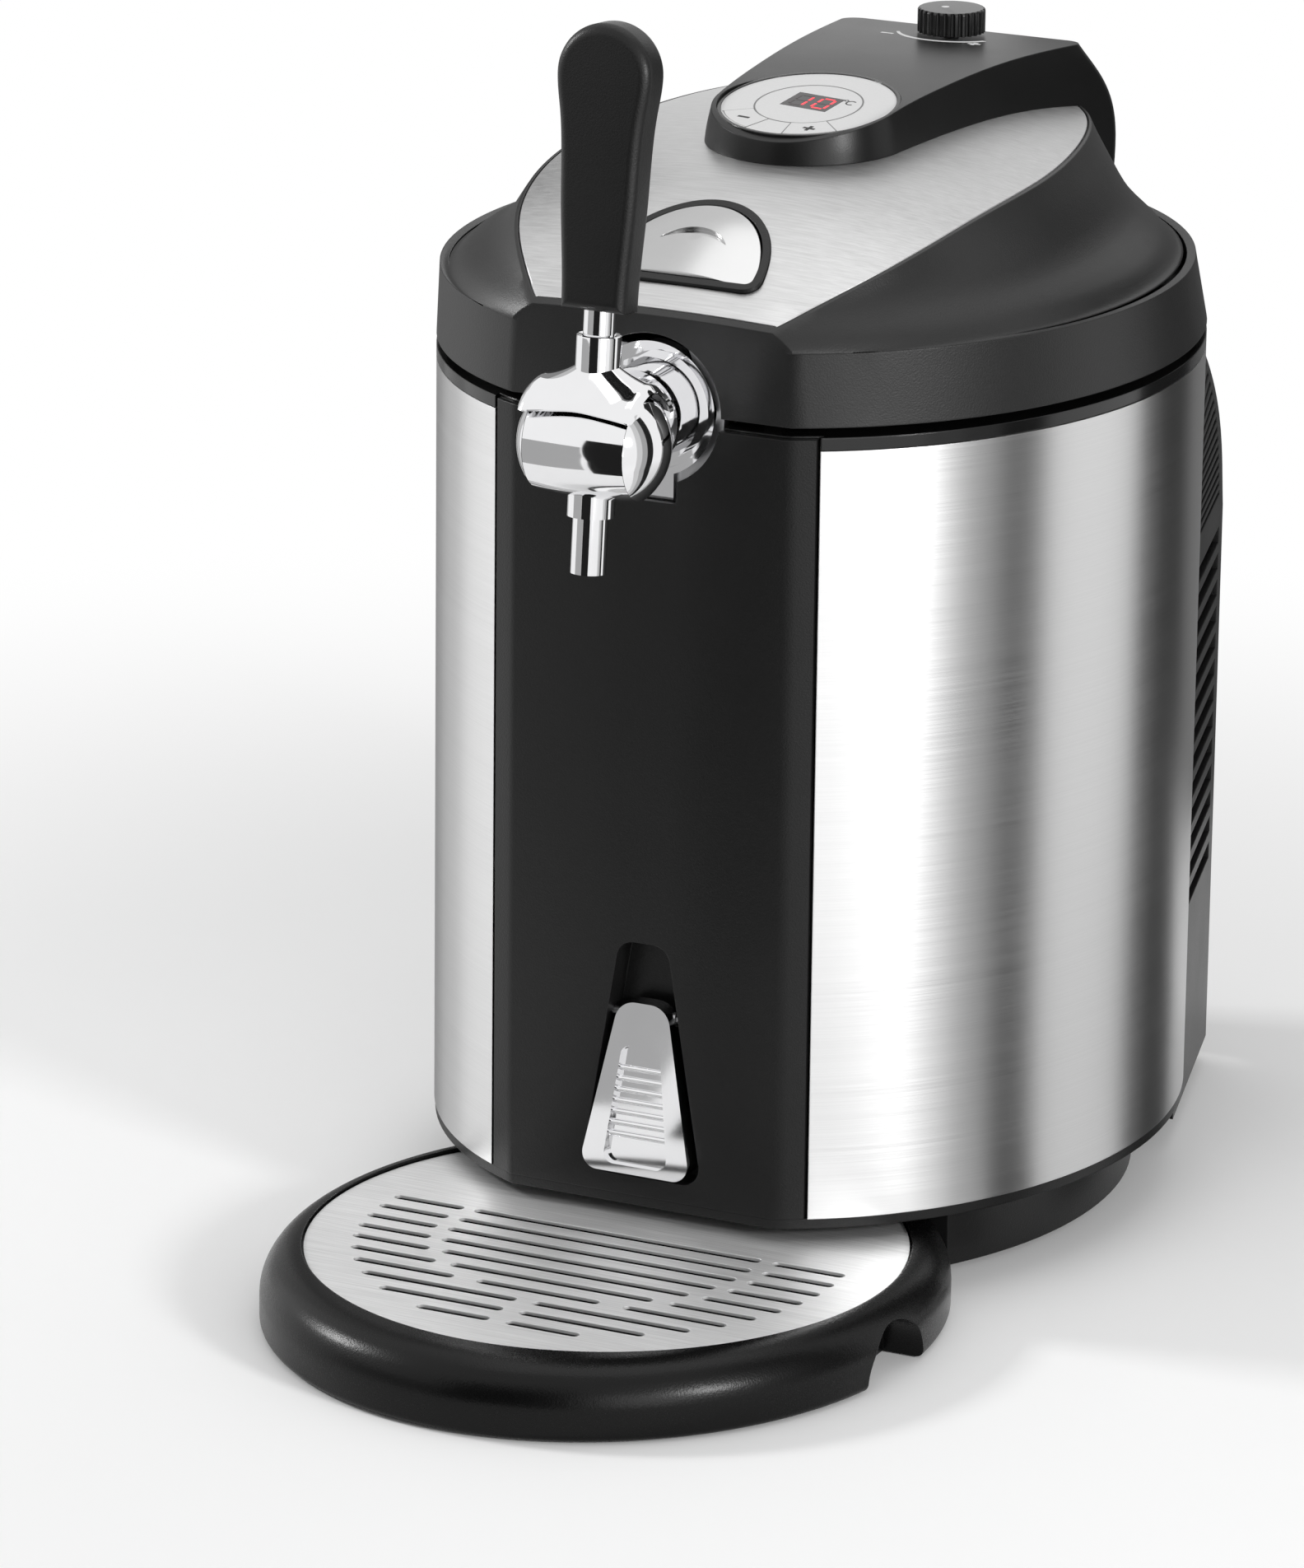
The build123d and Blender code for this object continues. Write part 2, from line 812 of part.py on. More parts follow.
def make_hinge_pin():
    reach = hinge_lug_half + slide_gap + hinge_ear_width
    return rod_x(hinge_pin_radius, -reach, reach, hinge_y, hinge_z)


# Tap pieces are drawn about the barrel's centre, then leant back
tap_frame = Pos(0, barrel_y, tap_z) * Rot(-tap_lean, 0, 0)


def across(low, high):
    reach = 2 * barrel_radius
    return block(low, high, -reach, reach, -reach, reach)


def barrel_form(grow):
    form = Rot(0, 90, 0) * Cylinder(barrel_radius + grow, 2 * (barrel_half_length + grow))
    return fillet(form.edges().filter_by(GeomType.CIRCLE), barrel_end_round + grow)


barrel_place = Pos(0, barrel_y, tap_z)


def lever_slot():
    reach = barrel_radius + overrun
    back = (reach * sin(radians(slot_back_angle)), reach * cos(radians(slot_back_angle)))
    front = (-reach * sin(radians(slot_front_angle)), reach * cos(radians(slot_front_angle)))
    wedge = Polygon((0, 0), back, (0, reach / cos(radians(slot_front_angle))), front, align=None)
    return slab_x(wedge, stem_arm_radius + slide_gap)


def make_tap_barrel():
    barrel = barrel_form(0) & across(-cap_seam_x, cap_seam_x)
    barrel -= Rot(0, 90, 0) * Cylinder(barrel_cavity_radius, 2 * barrel_cavity_half)
    barrel -= lever_slot()
    for side in (-1, 1):
        barrel -= cap_plug(side)
    barrel -= rod_x(lever_pin_radius, -lever_pin_half, lever_pin_half, 0, 0)
    barrel = barrel_place * barrel
    barrel -= rod_y(plunger_radius + run_gap, barrel_y, panel_y, 0, tap_z)
    barrel -= tap_frame * rod_z(spout_bore, -2 * barrel_radius, -barrel_cavity_radius / 2, 0, 0)
    return barrel


def cap_plug(side):
    low, high = sorted((side * (cap_seam_x - cap_plug_depth), side * (cap_seam_x + cap_seam)))
    return rod_x(cap_plug_radius, low, high, 0, 0)


# Caps: the barrel's rounded ends, each set in by a short plug and parted by a fine seam
def make_barrel_caps():
    round_x, round_r = barrel_half_length - barrel_end_round, barrel_radius - barrel_end_round
    face_x, plug_x = cap_seam_x + cap_seam, cap_seam_x - cap_plug_depth
    rim = acos((face_x - round_x) / barrel_end_round)
    dome = radians(cap_dome_angle)

    def on_round(angle):
        return (round_x + barrel_end_round * cos(angle), round_r + barrel_end_round * sin(angle))

    start, middle, end = on_round(rim), on_round((rim + dome) / 2), on_round(dome)
    crown_point = (barrel_half_length - (barrel_half_length - end[0]) * cap_crown_share, end[1] / 2)
    tip = (barrel_half_length, cap_flat_radius)
    profile = make_face([
        Polyline(tip, (barrel_half_length, 0), (plug_x, 0), (plug_x, cap_plug_radius), (face_x, cap_plug_radius), start),
        ThreePointArc(start, middle, end),
        ThreePointArc(end, crown_point, tip)])
    cap = revolve(profile, axis=Axis.X)
    caps = Part()
    for half in (cap, mirror(cap, Plane.YZ)):
        caps += half
    return barrel_place * caps


def make_tap_flange():
    front = flange_back_y - flange_thickness
    flange = rod_y(flange_radius, front, flange_back_y, 0, tap_z)
    lip = rod_y(flange_radius, front - flange_lip_height, front, 0, tap_z)
    lip -= rod_y(flange_radius - flange_lip_width, front - flange_lip_height - overrun, front + overrun, 0, tap_z)
    flange += lip
    flange += rod_y(flange_boss_radius, front - flange_boss_height, front, 0, tap_z)
    flange += block(-flange_tab_half, flange_tab_half, front, flange_back_y, tap_z - flange_tab_reach, tap_z)
    return flange - rod_y(shank_radius, front - 2 * flange_boss_height, flange_back_y + overrun, 0, tap_z)


def make_tap_shank():
    ring_back_y = shank_ring_front_y + shank_ring_length
    shank = rod_y(shank_front_radius, barrel_y, shank_ring_front_y, 0, tap_z)
    shank += rod_y(shank_ring_radius, shank_ring_front_y, ring_back_y, 0, tap_z)
    shank += rod_y(shank_radius, ring_back_y, flange_back_y, 0, tap_z)
    shank += rod_y(shank_thread_radius, flange_back_y, shank_end_y, 0, tap_z)
    shank -= barrel_place * barrel_form(0)
    shank -= barrel_place * hood_sweep()
    shank -= rod_y(plunger_radius + run_gap, barrel_y, shank_end_y + overrun, 0, tap_z)
    shank -= rod_y(shank_bore_radius, shank_guide_back_y, shank_end_y + overrun, 0, tap_z)
    groove = seal_wire
    for y in seal_places():
        shank -= rod_y(shank_thread_radius + overrun, y - groove, y + groove, 0, tap_z) - rod_y(
            shank_thread_radius - groove, y - groove, y + groove, 0, tap_z)
    return shank


# The room that the hood needs behind the barrel when the lever is upright
def hood_sweep():
    grown = barrel_form(hood_gap + hood_wall + slide_gap)
    above = block(-overall_width, overall_width, -overall_depth, overall_depth, 0, overall_height)
    back_edge = hood_edge * cos(radians(tap_lean)) - barrel_radius * sin(radians(tap_lean)) - slide_gap
    return grown & (Pos(0, 0, back_edge) * above)


def seal_places():
    return [flange_back_y + bracket_thickness / 2]


def make_shank_seals():
    seals = Part()
    for y in seal_places():
        ring = Pos(0, y, tap_z) * Rot(90, 0, 0) * Torus(shank_thread_radius, seal_wire)
        seals += ring
    return seals


def make_tap_bracket():
    back = flange_back_y + bracket_thickness
    plate = block(-bracket_half, bracket_half, flange_back_y, back, bracket_low_z, bracket_high_z)
    for side in (-1, 1):
        low, high = sorted((side * bracket_foot_inner, side * bracket_half))
        plate += block(low, high, panel_y + panel_wall, flange_back_y, bracket_low_z, bracket_foot_high_z)
    groove = shank_thread_radius + 2 * seal_wire
    plate -= rod_y(shank_thread_radius, flange_back_y - overrun, back + overrun, 0, tap_z)
    return plate - rod_y(groove, flange_back_y + bracket_thickness / 2 - seal_wire,
                         flange_back_y + bracket_thickness / 2 + seal_wire, 0, tap_z)


def make_shank_nut():
    low = flange_back_y + bracket_thickness
    hexagon = RegularPolygon(nut_radius, 6)
    nut = slab_y(Pos(0, tap_z) * hexagon, low, low + nut_thickness)
    return nut - rod_y(shank_thread_radius, low - overrun, low + nut_thickness + overrun, 0, tap_z)


def make_beer_nipple():
    nipple = rod_y(nipple_collar_radius, shank_end_y, shank_end_y + nipple_collar_length, 0, tap_z)
    nipple += rod_y(nipple_radius, shank_end_y, nipple_end_y, 0, tap_z)
    for step in (0, 1):
        low = nipple_end_y - (step + 1) * nipple_barb_length + step * -nipple_barb_length / 2
        barb = Pos(0, low + nipple_barb_length / 2, tap_z) * Rot(90, 0, 0) * Cone(
            nipple_barb_radius, nipple_radius, nipple_barb_length)
        nipple += mirror(barb, Plane.XZ.offset(-(low + nipple_barb_length / 2)))
    return nipple - rod_y(nipple_bore, shank_end_y - overrun, nipple_end_y + overrun, 0, tap_z)


# The plunger's hook hangs behind the lever's tip and is pushed back by it
def make_valve_plunger():
    plunger = block(-plunger_hook_half, plunger_hook_half, barrel_y + plunger_hook_front,
                    barrel_y + plunger_hook_back, tap_z - plunger_hook_drop, tap_z)
    head_front = shank_guide_back_y + seat_gap
    plunger += rod_y(plunger_radius, barrel_y + plunger_hook_front, head_front, 0, tap_z)
    plunger -= rod_x(stem_eye_radius + slide_gap, -barrel_cavity_half, barrel_cavity_half, barrel_y, tap_z)
    reach = barrel_radius - barrel_cavity_radius
    plunger -= rod_z(stem_arm_radius + slide_gap, tap_z, tap_z + reach, 0, barrel_y + slide_gap)
    plunger += rod_y(plunger_head_radius, head_front, head_front + plunger_head_length, 0, tap_z)
    return plunger


def make_spout_collar():
    collar = tap_frame * rod_z(collar_radius, -collar_bottom, -collar_top, 0, 0)
    collar -= barrel_place * barrel_form(0)
    return collar - tap_frame * rod_z(spout_radius, -2 * collar_bottom, 0, 0, 0)


def make_tap_spout():
    spout = tap_frame * rod_z(spout_radius, -spout_bottom, -collar_top, 0, 0)
    spout -= barrel_place * barrel_form(0)
    return spout - tap_frame * rod_z(spout_bore, -2 * spout_bottom, 0, 0, 0)


# Tap lever: hood over the barrel, stem on its pin, handle on the stem
def make_lever_hood():
    shell = barrel_form(hood_gap + hood_wall) - barrel_form(hood_gap)
    hood = shell & block(-hood_half_length, hood_half_length, -overall_depth, overall_depth,
                         hood_edge, overall_height)
    wave = Pos(0, hood_edge) * Ellipse(hood_wave_half, hood_wave_rise)
    hood -= slab_y(wave, -overall_depth, overall_depth)
    hood += rod_z(neck_radius, neck_base, neck_top, 0, 0) - barrel_form(hood_gap)
    cone = Pos(0, 0, (neck_base + neck_foot) / 2) * Cone(neck_base_radius, neck_radius, neck_foot - neck_base)
    hood += cone - barrel_form(hood_gap)
    return tap_frame * (hood - rod_z(stem_radius, barrel_radius / 2, 2 * neck_top, 0, 0))


def make_lever_stem():
    stem = rod_x(stem_eye_radius, -stem_eye_half, stem_eye_half, 0, 0)
    stem += rod_z(stem_arm_radius, 0, neck_foot, 0, 0)
    stem += rod_z(stem_radius, barrel_radius + hood_gap + hood_wall, stem_top, 0, 0)
    stem += rod_z(stem_tip_radius, -stem_tip_reach, 0, 0, 0)
    stem += Pos(0, 0, -stem_tip_reach) * Sphere(stem_tip_radius)
    stem -= rod_x(lever_pin_radius + run_gap, -stem_eye_half - overrun, stem_eye_half + overrun, 0, 0)
    return tap_frame * stem


def make_lever_pin():
    return barrel_place * rod_x(lever_pin_radius, -lever_pin_half, lever_pin_half, 0, 0)


# Handle: a paddle that widens upwards to a round top, with rounded edges
def make_tap_handle():
    lean = radians(tap_lean)
    crest = handle_forward + handle_depth / 2 - handle_round
    top = (overall_height - tap_z - crest * sin(lean)) / cos(lean)
    high_half = handle_width_high / 2
    span = top - high_half - handle_bottom
    right = [(handle_width_low / 2, handle_bottom),
             (handle_width_mid / 2, handle_bottom + handle_mid_share * span),
             (high_half * handle_high_share, handle_bottom + handle_high_share * span * handle_high_share),
             (high_half, handle_bottom + span)]
    left = [(-x, z) for x, z in right]
    side = Spline(*right, tangents=((0, 1), (0, 1)))
    arch = ThreePointArc(right[-1], (0, top), left[-1])
    outline = make_face([side, arch, mirror(side, Plane.YZ), Line(left[0], right[0])])
    handle = slab_y(outline, -handle_forward - handle_depth / 2, -handle_forward + handle_depth / 2)
    handle = fillet(handle.faces().filter_by(Axis.Y).edges(), handle_round)
    return tap_frame * (handle - rod_z(stem_radius, handle_bottom - overrun, stem_top, 0, 0))


# Lid: a drafted rim, concave shoulders up to the plate, and a top that curves both ways
lid_front_y = panel_y + lid_front_set
lid_length = body_centre_y + body_half_length - lid_front_y


def lid_sides(inset, front_inset):
    low = Pos(0, body_centre_y, lid_bottom_z) * Ellipse(body_half_width - inset, body_half_length - inset)
    steps = []
    for height, width, front, rear in lid_section_shares:
        z = lid_rim_z + height * (lid_edge_z - lid_rim_z)
        middle = body_centre_y + body_half_length * (rear - front) / 2
        oval = Ellipse(body_half_width * width - inset, body_half_length * (front + rear) / 2 - inset)
        steps.append(Pos(0, middle, z) * oval)
    sides = loft([low, steps[0]], ruled=True) + loft(steps)
    keep = block(-overall_width, overall_width, lid_front_y + front_inset, overall_depth, 0, overall_height)
    return sides & keep


def crown(drop):
    reach = body_half_width + overrun
    sections = []
    for along, height, bend in crown_shares:
        sag = bend * reach ** 2 / (2 * crown_cross_radius)
        z = crown_low_z + crown_rise * height - drop
        arc = ThreePointArc((-reach, z - sag), (0, z), (reach, z - sag))
        sides = Polyline((reach, z - sag), (reach, shell_bottom_z), (-reach, shell_bottom_z), (-reach, z - sag))
        plane = Plane(origin=(0, lid_front_y + along * lid_length, 0), x_dir=(1, 0, 0), z_dir=(0, -1, 0))
        sections.append(plane * make_face([arc, *sides.edges()]))
    return loft(sections)


lid_outer = lid_sides(0, 0) & crown(0)
lid_hollow = lid_sides(lid_wall, lid_wall) & crown(lid_wall)
lid_hollow += prism(body_plan(lid_wall), lid_bottom_z - overrun, lid_bottom_z)


def lid_boss_places():
    return [(side * lid_boss_x, y) for side in (-1, 1) for y in (lid_boss_front_y, lid_boss_rear_y)]


def make_lid_frame():
    frame = lid_outer - lid_hollow
    recess = lid_sides(plate_inset - plate_groove, plate_front_inset - plate_groove) - crown(plate_thickness)
    frame -= recess & prism(body_plan(0), lid_rim_z, overall_height)
    frame -= rod_y(recess_radius, lid_front_y - overrun, lid_front_y + lid_wall + overrun, 0, tap_z)
    frame -= surround_place * d_prism(seat_gap, surround_depth + overrun, overrun)
    frame -= rod_z(regulator_radius + regulator_hole_gap, cover_low_z, overall_height, 0, knob_y)
    cover_top = cover_low_z + cover_thickness
    for x, y in lid_boss_places():
        frame += rod_z(lid_boss_radius, cover_top, lid_edge_z, x, y) & lid_outer
        frame -= rod_z(lid_screw_radius, cover_top - overrun, cover_top + lid_screw_depth, x, y)
    lug = block(-hinge_lug_half, hinge_lug_half, body_centre_y + body_half_length - 2 * lid_wall, hinge_y,
                lid_bottom_z, hinge_lug_top_z)
    lug += rod_x(hinge_knuckle_radius, -hinge_lug_half, hinge_lug_half, hinge_y, hinge_z)
    frame += lug
    return frame - rod_x(hinge_pin_radius + run_gap, -hinge_lug_half - overrun, hinge_lug_half + overrun,
                         hinge_y, hinge_z)


def make_lid_plate():
    plate = (lid_sides(plate_inset, plate_front_inset) & crown(0)) - crown(plate_thickness)
    plate &= prism(body_plan(0), lid_rim_z, overall_height)
    plate -= surround_place * d_prism(seat_gap, surround_depth, overrun)
    return plate - rod_z(regulator_radius + regulator_hole_gap, lid_rim_z, overall_height, 0, knob_y)


def make_lid_inner_cover():
    top = cover_low_z + cover_thickness
    inset = lid_wall + cover_gap
    cover = prism(body_plan(inset), cover_low_z, top) & lid_sides(inset, inset)
    rib = rod_z(rib_radius, lid_bottom_z, cover_low_z, 0, chamber_centre_y)
    rib -= rod_z(rib_radius - rib_wall, lid_bottom_z - overrun, cover_low_z + overrun, 0, chamber_centre_y)
    cover += rib
    cover -= block(-cover_notch_half, cover_notch_half, panel_y, cover_notch_back_y,
                   lid_bottom_z - overrun, top + overrun)
    for side in (-1, 1):
        cover -= latch_slot(side, lid_bottom_z, top + overrun)
    for x, y in lid_boss_places():
        cover -= rod_z(lid_screw_radius, cover_low_z - overrun, top + overrun, x, y)
    return cover - rod_z(outlet_radius, cover_low_z - overrun, top + overrun, 0, knob_y)


def make_lid_screws():
    screws = Part()
    for x, y in lid_boss_places():
        screws += rod_z(lid_screw_head_radius, cover_low_z - lid_screw_head, cover_low_z, x, y)
        screws += rod_z(lid_screw_radius, cover_low_z, cover_low_z + cover_thickness + lid_screw_depth, x, y)
    return screws


def make_lid_gasket():
    top = lid_bottom_z - seat_gap
    ring = rod_z(gasket_radius, deck_top_z, top, 0, chamber_centre_y)
    return ring - rod_z(gasket_radius - gasket_width, deck_top_z - overrun, top + overrun, 0, chamber_centre_y)


# Lid button: a D with its flat side to the front, in a cup sunk in the plate
def crown_height(y):
    along = (y - lid_front_y) / lid_length
    for (low, low_z, _), (high, high_z, _) in zip(crown_shares, crown_shares[1:]):
        if low <= along <= high:
            share = (along - low) / (high - low)
            return crown_low_z + crown_rise * (low_z + share * (high_z - low_z))
    return crown_low_z


surround_place = Pos(0, button_y, crown_height(button_y) + button_lift) * Rot(button_tilt, 0, 0)


def d_face(grow):
    half = surround_half_width + grow
    length = surround_length + 2 * grow
    front = -surround_length / 2 - grow
    oval = Pos(0, front) * Ellipse(half, length)
    keep = Pos(0, front + length / 2) * Rectangle(2 * half, length)
    outline = oval & keep
    return fillet(outline.vertices().group_by(Axis.Y)[0], max(surround_corner + grow, button_corner))


def d_prism(grow, depth, height):
    return prism(d_face(grow), -depth, height)


def make_button_surround():
    cup = d_prism(0, surround_depth, surround_proud)
    cup -= d_prism(-surround_width, surround_depth - surround_floor, overrun)
    return surround_place * cup


# Button: a domed D with a crescent groove for the fingertip
def make_lid_button():
    button = d_prism(-surround_width - button_gap, button_depth, button_proud)
    button = fillet(button.faces().sort_by(Axis.Z)[-1].edges(), button_edge)
    button &= Pos(0, 0, button_proud - button_dome_radius) * Sphere(button_dome_radius)
    crescent = Pos(0, swoosh_outer_at) * Ellipse(swoosh_outer_half, swoosh_outer_length)
    crescent -= Pos(0, swoosh_inner_at) * Ellipse(swoosh_inner_half, swoosh_inner_length)
    return surround_place * (button - prism(crescent, button_proud - swoosh_depth, button_proud + overrun))


def make_button_spring():
    low = -surround_depth + surround_floor
    high = -button_depth - button_travel - seat_gap
    spring = rod_z(button_spring_radius, low, high, 0, 0)
    spring -= rod_z(button_spring_radius - button_spring_wall, low - overrun, high + overrun, 0, 0)
    return surround_place * spring


def make_lid_latch():
    bar_low = cover_low_z + cover_thickness + seat_gap
    back = latch_front_y + latch_thickness
    latch = block(-latch_half, latch_half, latch_front_y, back, bar_low, bar_low + latch_height)
    tongue = block(latch_half - latch_tongue_width, latch_half, latch_front_y, back, latch_tongue_low_z, bar_low)
    return latch + tongue + mirror(tongue, Plane.YZ)


# Control head: round in front under the disc, spreading towards the back, on top of the lid
def head_outline(front_radius, back_half, back_at, corner):
    rise = back_at - disc_y
    reach = hypot(back_half, rise)
    turn = atan2(rise, back_half) - acos(front_radius / reach)
    touch = (front_radius * cos(turn), disc_y + front_radius * sin(turn))
    left_touch = (-touch[0], touch[1])
    lines = Polyline(touch, (back_half, back_at), (-back_half, back_at), left_touch)
    nose = ThreePointArc(left_touch, (0, disc_y - front_radius), touch)
    outline = make_face([*lines.edges(), nose])
    return fillet(outline.vertices().group_by(Axis.Y)[-1], corner)


def head_form(inset):
    sections = []
    for height, front, back, depth in head_section_shares:
        z = head_low_z + height * (head_top_z - head_low_z)
        outline = head_outline(head_front_radius * front - inset, head_back_half * back - inset,
                               head_back_y * depth - inset, head_back_corner)
        sections.append(Pos(0, 0, z) * outline)
    return loft(sections) & head_top(inset)


def head_top(drop):
    points = []
    for along, height in head_top_shares:
        points.append((along * head_back_y, head_top_z + height * (head_top_z - head_low_z) - drop))
    curve = Spline(*points)
    first, last = points[0], points[-1]
    sides = Polyline(last, (last[0], shell_bottom_z), (first[0], shell_bottom_z), first)
    return slab_x(make_face([curve, *sides.edges()]), overall_width)


disc_frame = Pos(0, disc_y, disc_z) * Rot(disc_tilt, 0, 0) * Rot(0, 0, disc_turn)


def make_control_head():
    head = head_form(0) - head_form(head_wall)
    seat = disc_frame * rod_z(bezel_radius + head_wall, -bezel_height - head_wall, -bezel_height, 0, 0)
    head += seat & head_form(0)
    head -= disc_frame * rod_z(bezel_radius + disc_gap, -bezel_height, head_top_z - disc_z + overrun, 0, 0)
    head += rod_z(boss_radius, boss_low_z, head_top_z, 0, knob_y) & head_form(0)
    head -= rod_z(spindle_radius + run_gap, boss_low_z - overrun, overall_height, 0, knob_y)
    return head - lid_outer


def make_disc_bezel():
    ring = rod_z(bezel_radius, -bezel_height, 0, 0, 0)
    return disc_frame * (ring - rod_z(bezel_radius - bezel_width, -bezel_height - overrun, overrun, 0, 0))


def key_face(side, grow):
    start = key_start_angle - grow
    span = key_span_angle + 2 * grow
    inner, outer = key_inner_radius, key_outer_radius
    middle = radians(-90 + side * (start + span / 2))
    first = radians(-90 + side * start)
    last = radians(-90 + side * (start + span))

    def at(radius, angle):
        return (radius * cos(angle), radius * sin(angle))

    arcs = [ThreePointArc(at(outer, first), at(outer, middle), at(outer, last)),
            Line(at(outer, last), at(inner, last)),
            ThreePointArc(at(inner, last), at(inner, middle), at(inner, first)),
            Line(at(inner, first), at(outer, first))]
    return make_face(arcs)


def make_key(side):
    low = -disc_drop - key_thickness
    return disc_frame * prism(key_face(side, 0), low, -disc_drop + key_proud)


def make_control_disc():
    disc = rod_z(bezel_radius - bezel_width - disc_gap, -bezel_height, -disc_drop, 0, 0)
    for side in (-1, 1):
        disc -= prism(offset(key_face(side, 0), key_gap, kind=Kind.INTERSECTION), -2 * bezel_height, overrun)
    disc -= Pos(0, window_at, 0) * Box(2 * window_half_width, 2 * window_half_height, 4 * bezel_height)
    return disc_frame * disc


def make_display_window():
    depth = bezel_height - disc_drop
    pane = Box(2 * window_half_width, 2 * window_half_height, depth)
    return disc_frame * Pos(0, window_at, -disc_drop - depth / 2) * pane


def make_control_board():
    top = -bezel_height - head_wall - control_post_height
    board = rod_z(control_board_radius, top - control_board_thickness, top, 0, 0)
    for step in range(3):
        angle = radians(90 + 120 * step)
        reach = control_board_radius - 2 * control_post_radius
        board += rod_z(control_post_radius, top, top + control_post_height, reach * cos(angle), reach * sin(angle))
    return disc_frame * Pos(0, control_board_at, 0) * board


def make_pressure_knob():
    knob = rod_z(knob_radius, knob_low_z, knob_top_z, 0, knob_y)
    knob = fillet(knob.faces().sort_by(Axis.Z)[-1].edges(), knob_top_round)
    for step in range(knob_flute_count):
        angle = radians(360 / knob_flute_count * step)
        knob -= rod_z(knob_flute_radius, knob_low_z - overrun, knob_top_z + overrun,
                      knob_radius * cos(angle), knob_y + knob_radius * sin(angle))
    return knob - rod_z(spindle_radius, knob_low_z - overrun, spindle_high_z, 0, knob_y)


def make_knob_spindle():
    return rod_z(spindle_radius, spindle_low_z, spindle_high_z, 0, knob_y)


def make_gas_regulator():
    body = rod_z(regulator_radius, regulator_low_z, boss_low_z, 0, knob_y)
    body -= rod_z(spindle_radius + run_gap, spindle_low_z - seat_gap, overall_height, 0, knob_y)
    body -= rod_z(outlet_radius, regulator_low_z - overrun, regulator_low_z + overrun, 0, knob_y)
    return body - rod_y(cartridge_neck_radius, knob_y - 2 * regulator_radius, knob_y - regulator_radius / 2,
                        0, cartridge_z)


def make_gas_cartridge():
    neck_back = knob_y - regulator_radius / 2
    body_back = knob_y - regulator_radius - cartridge_neck_length
    body = rod_y(cartridge_radius, body_back - cartridge_length, body_back, 0, cartridge_z)
    body = fillet(body.edges().filter_by(GeomType.CIRCLE), cartridge_end_round)
    return body + rod_y(cartridge_neck_radius, body_back, neck_back, 0, cartridge_z)


def make_gas_outlet():
    tube = rod_z(outlet_radius, outlet_low_z, regulator_low_z + overrun, 0, knob_y)
    return tube - rod_z(outlet_bore, outlet_low_z - overrun, overall_height, 0, knob_y)


# Drip tray with a rounded border, its grid, and finger notches in both sides
def tray_oval(grow):
    return Pos(0, tray_centre_y) * Ellipse(grid_half_width + grow, grid_half_length + grow)


def make_drip_tray():
    oval = Pos(0, tray_centre_y) * Ellipse(tray_half_width, tray_half_length)
    tray = prism(oval, tray_low_z, tray_top_z)
    tray = fillet(tray.faces().sort_by(Axis.Z)[-1].edges(), tray_top_round)
    tray = fillet(tray.faces().sort_by(Axis.Z)[0].edges(), tray_bottom_round)
    rear = foot_ring_front_y - seat_gap
    tray &= block(-overall_width, overall_width, front_y - overrun, rear, 0, tray_top_z)
    seat_z = grid_top_z - grid_thickness
    room = block(-overall_width, overall_width, front_y, rear - tray_wall, 0, overall_height)
    tray -= prism(tray_oval(grid_gap), seat_z, tray_top_z + overrun) & room
    basin_room = block(-overall_width, overall_width, front_y, rear - tray_wall - grid_ledge, 0, overall_height)
    tray -= prism(tray_oval(-grid_ledge), tray_low_z + tray_wall, tray_top_z + overrun) & basin_room
    for side in (-1, 1):
        low, high = sorted((side * (tray_half_width - notch_depth), side * (tray_half_width + overrun)))
        tray -= rod_x(notch_radius, low, high, notch_y, tray_low_z)
    return tray


def slot_row(y, low, high):
    run = high - low - slot_width
    return Pos((low + high) / 2, y) * SlotCenterToCenter(run, slot_width)


def grid_slots():
    slots = []
    for row in range(-slot_rows, slot_rows + 1):
        y = slot_centre_y - row * slot_pitch
        away = abs(row * slot_pitch)
        outer = (slot_outer_radius ** 2 - away ** 2) ** 0.5 if away < slot_outer_radius else 0
        inner = (slot_inner_radius ** 2 - away ** 2) ** 0.5 if away < slot_inner_radius else slot_middle_gap / 2
        middle = (slot_disc_radius ** 2 - away ** 2) ** 0.5 if away < slot_disc_radius else 0
        inner = max(inner, slot_middle_gap / 2)
        if outer - inner > 2 * slot_width:
            slots.append(slot_row(y, inner, outer))
            slots.append(slot_row(y, -outer, -inner))
        if middle > slot_width:
            slots.append(slot_row(y, -middle, middle))
    return slots


def make_drip_grid():
    rear = foot_ring_front_y - seat_gap - tray_wall - grid_gap
    plan = tray_oval(0) & (Pos(0, rear - overall_depth / 2) * Rectangle(overall_width, overall_depth))
    low = grid_top_z - grid_thickness
    grid = prism(plan, low, grid_top_z)
    for slot in grid_slots():
        grid -= prism(slot, low - overrun, grid_top_z + overrun)
    return grid


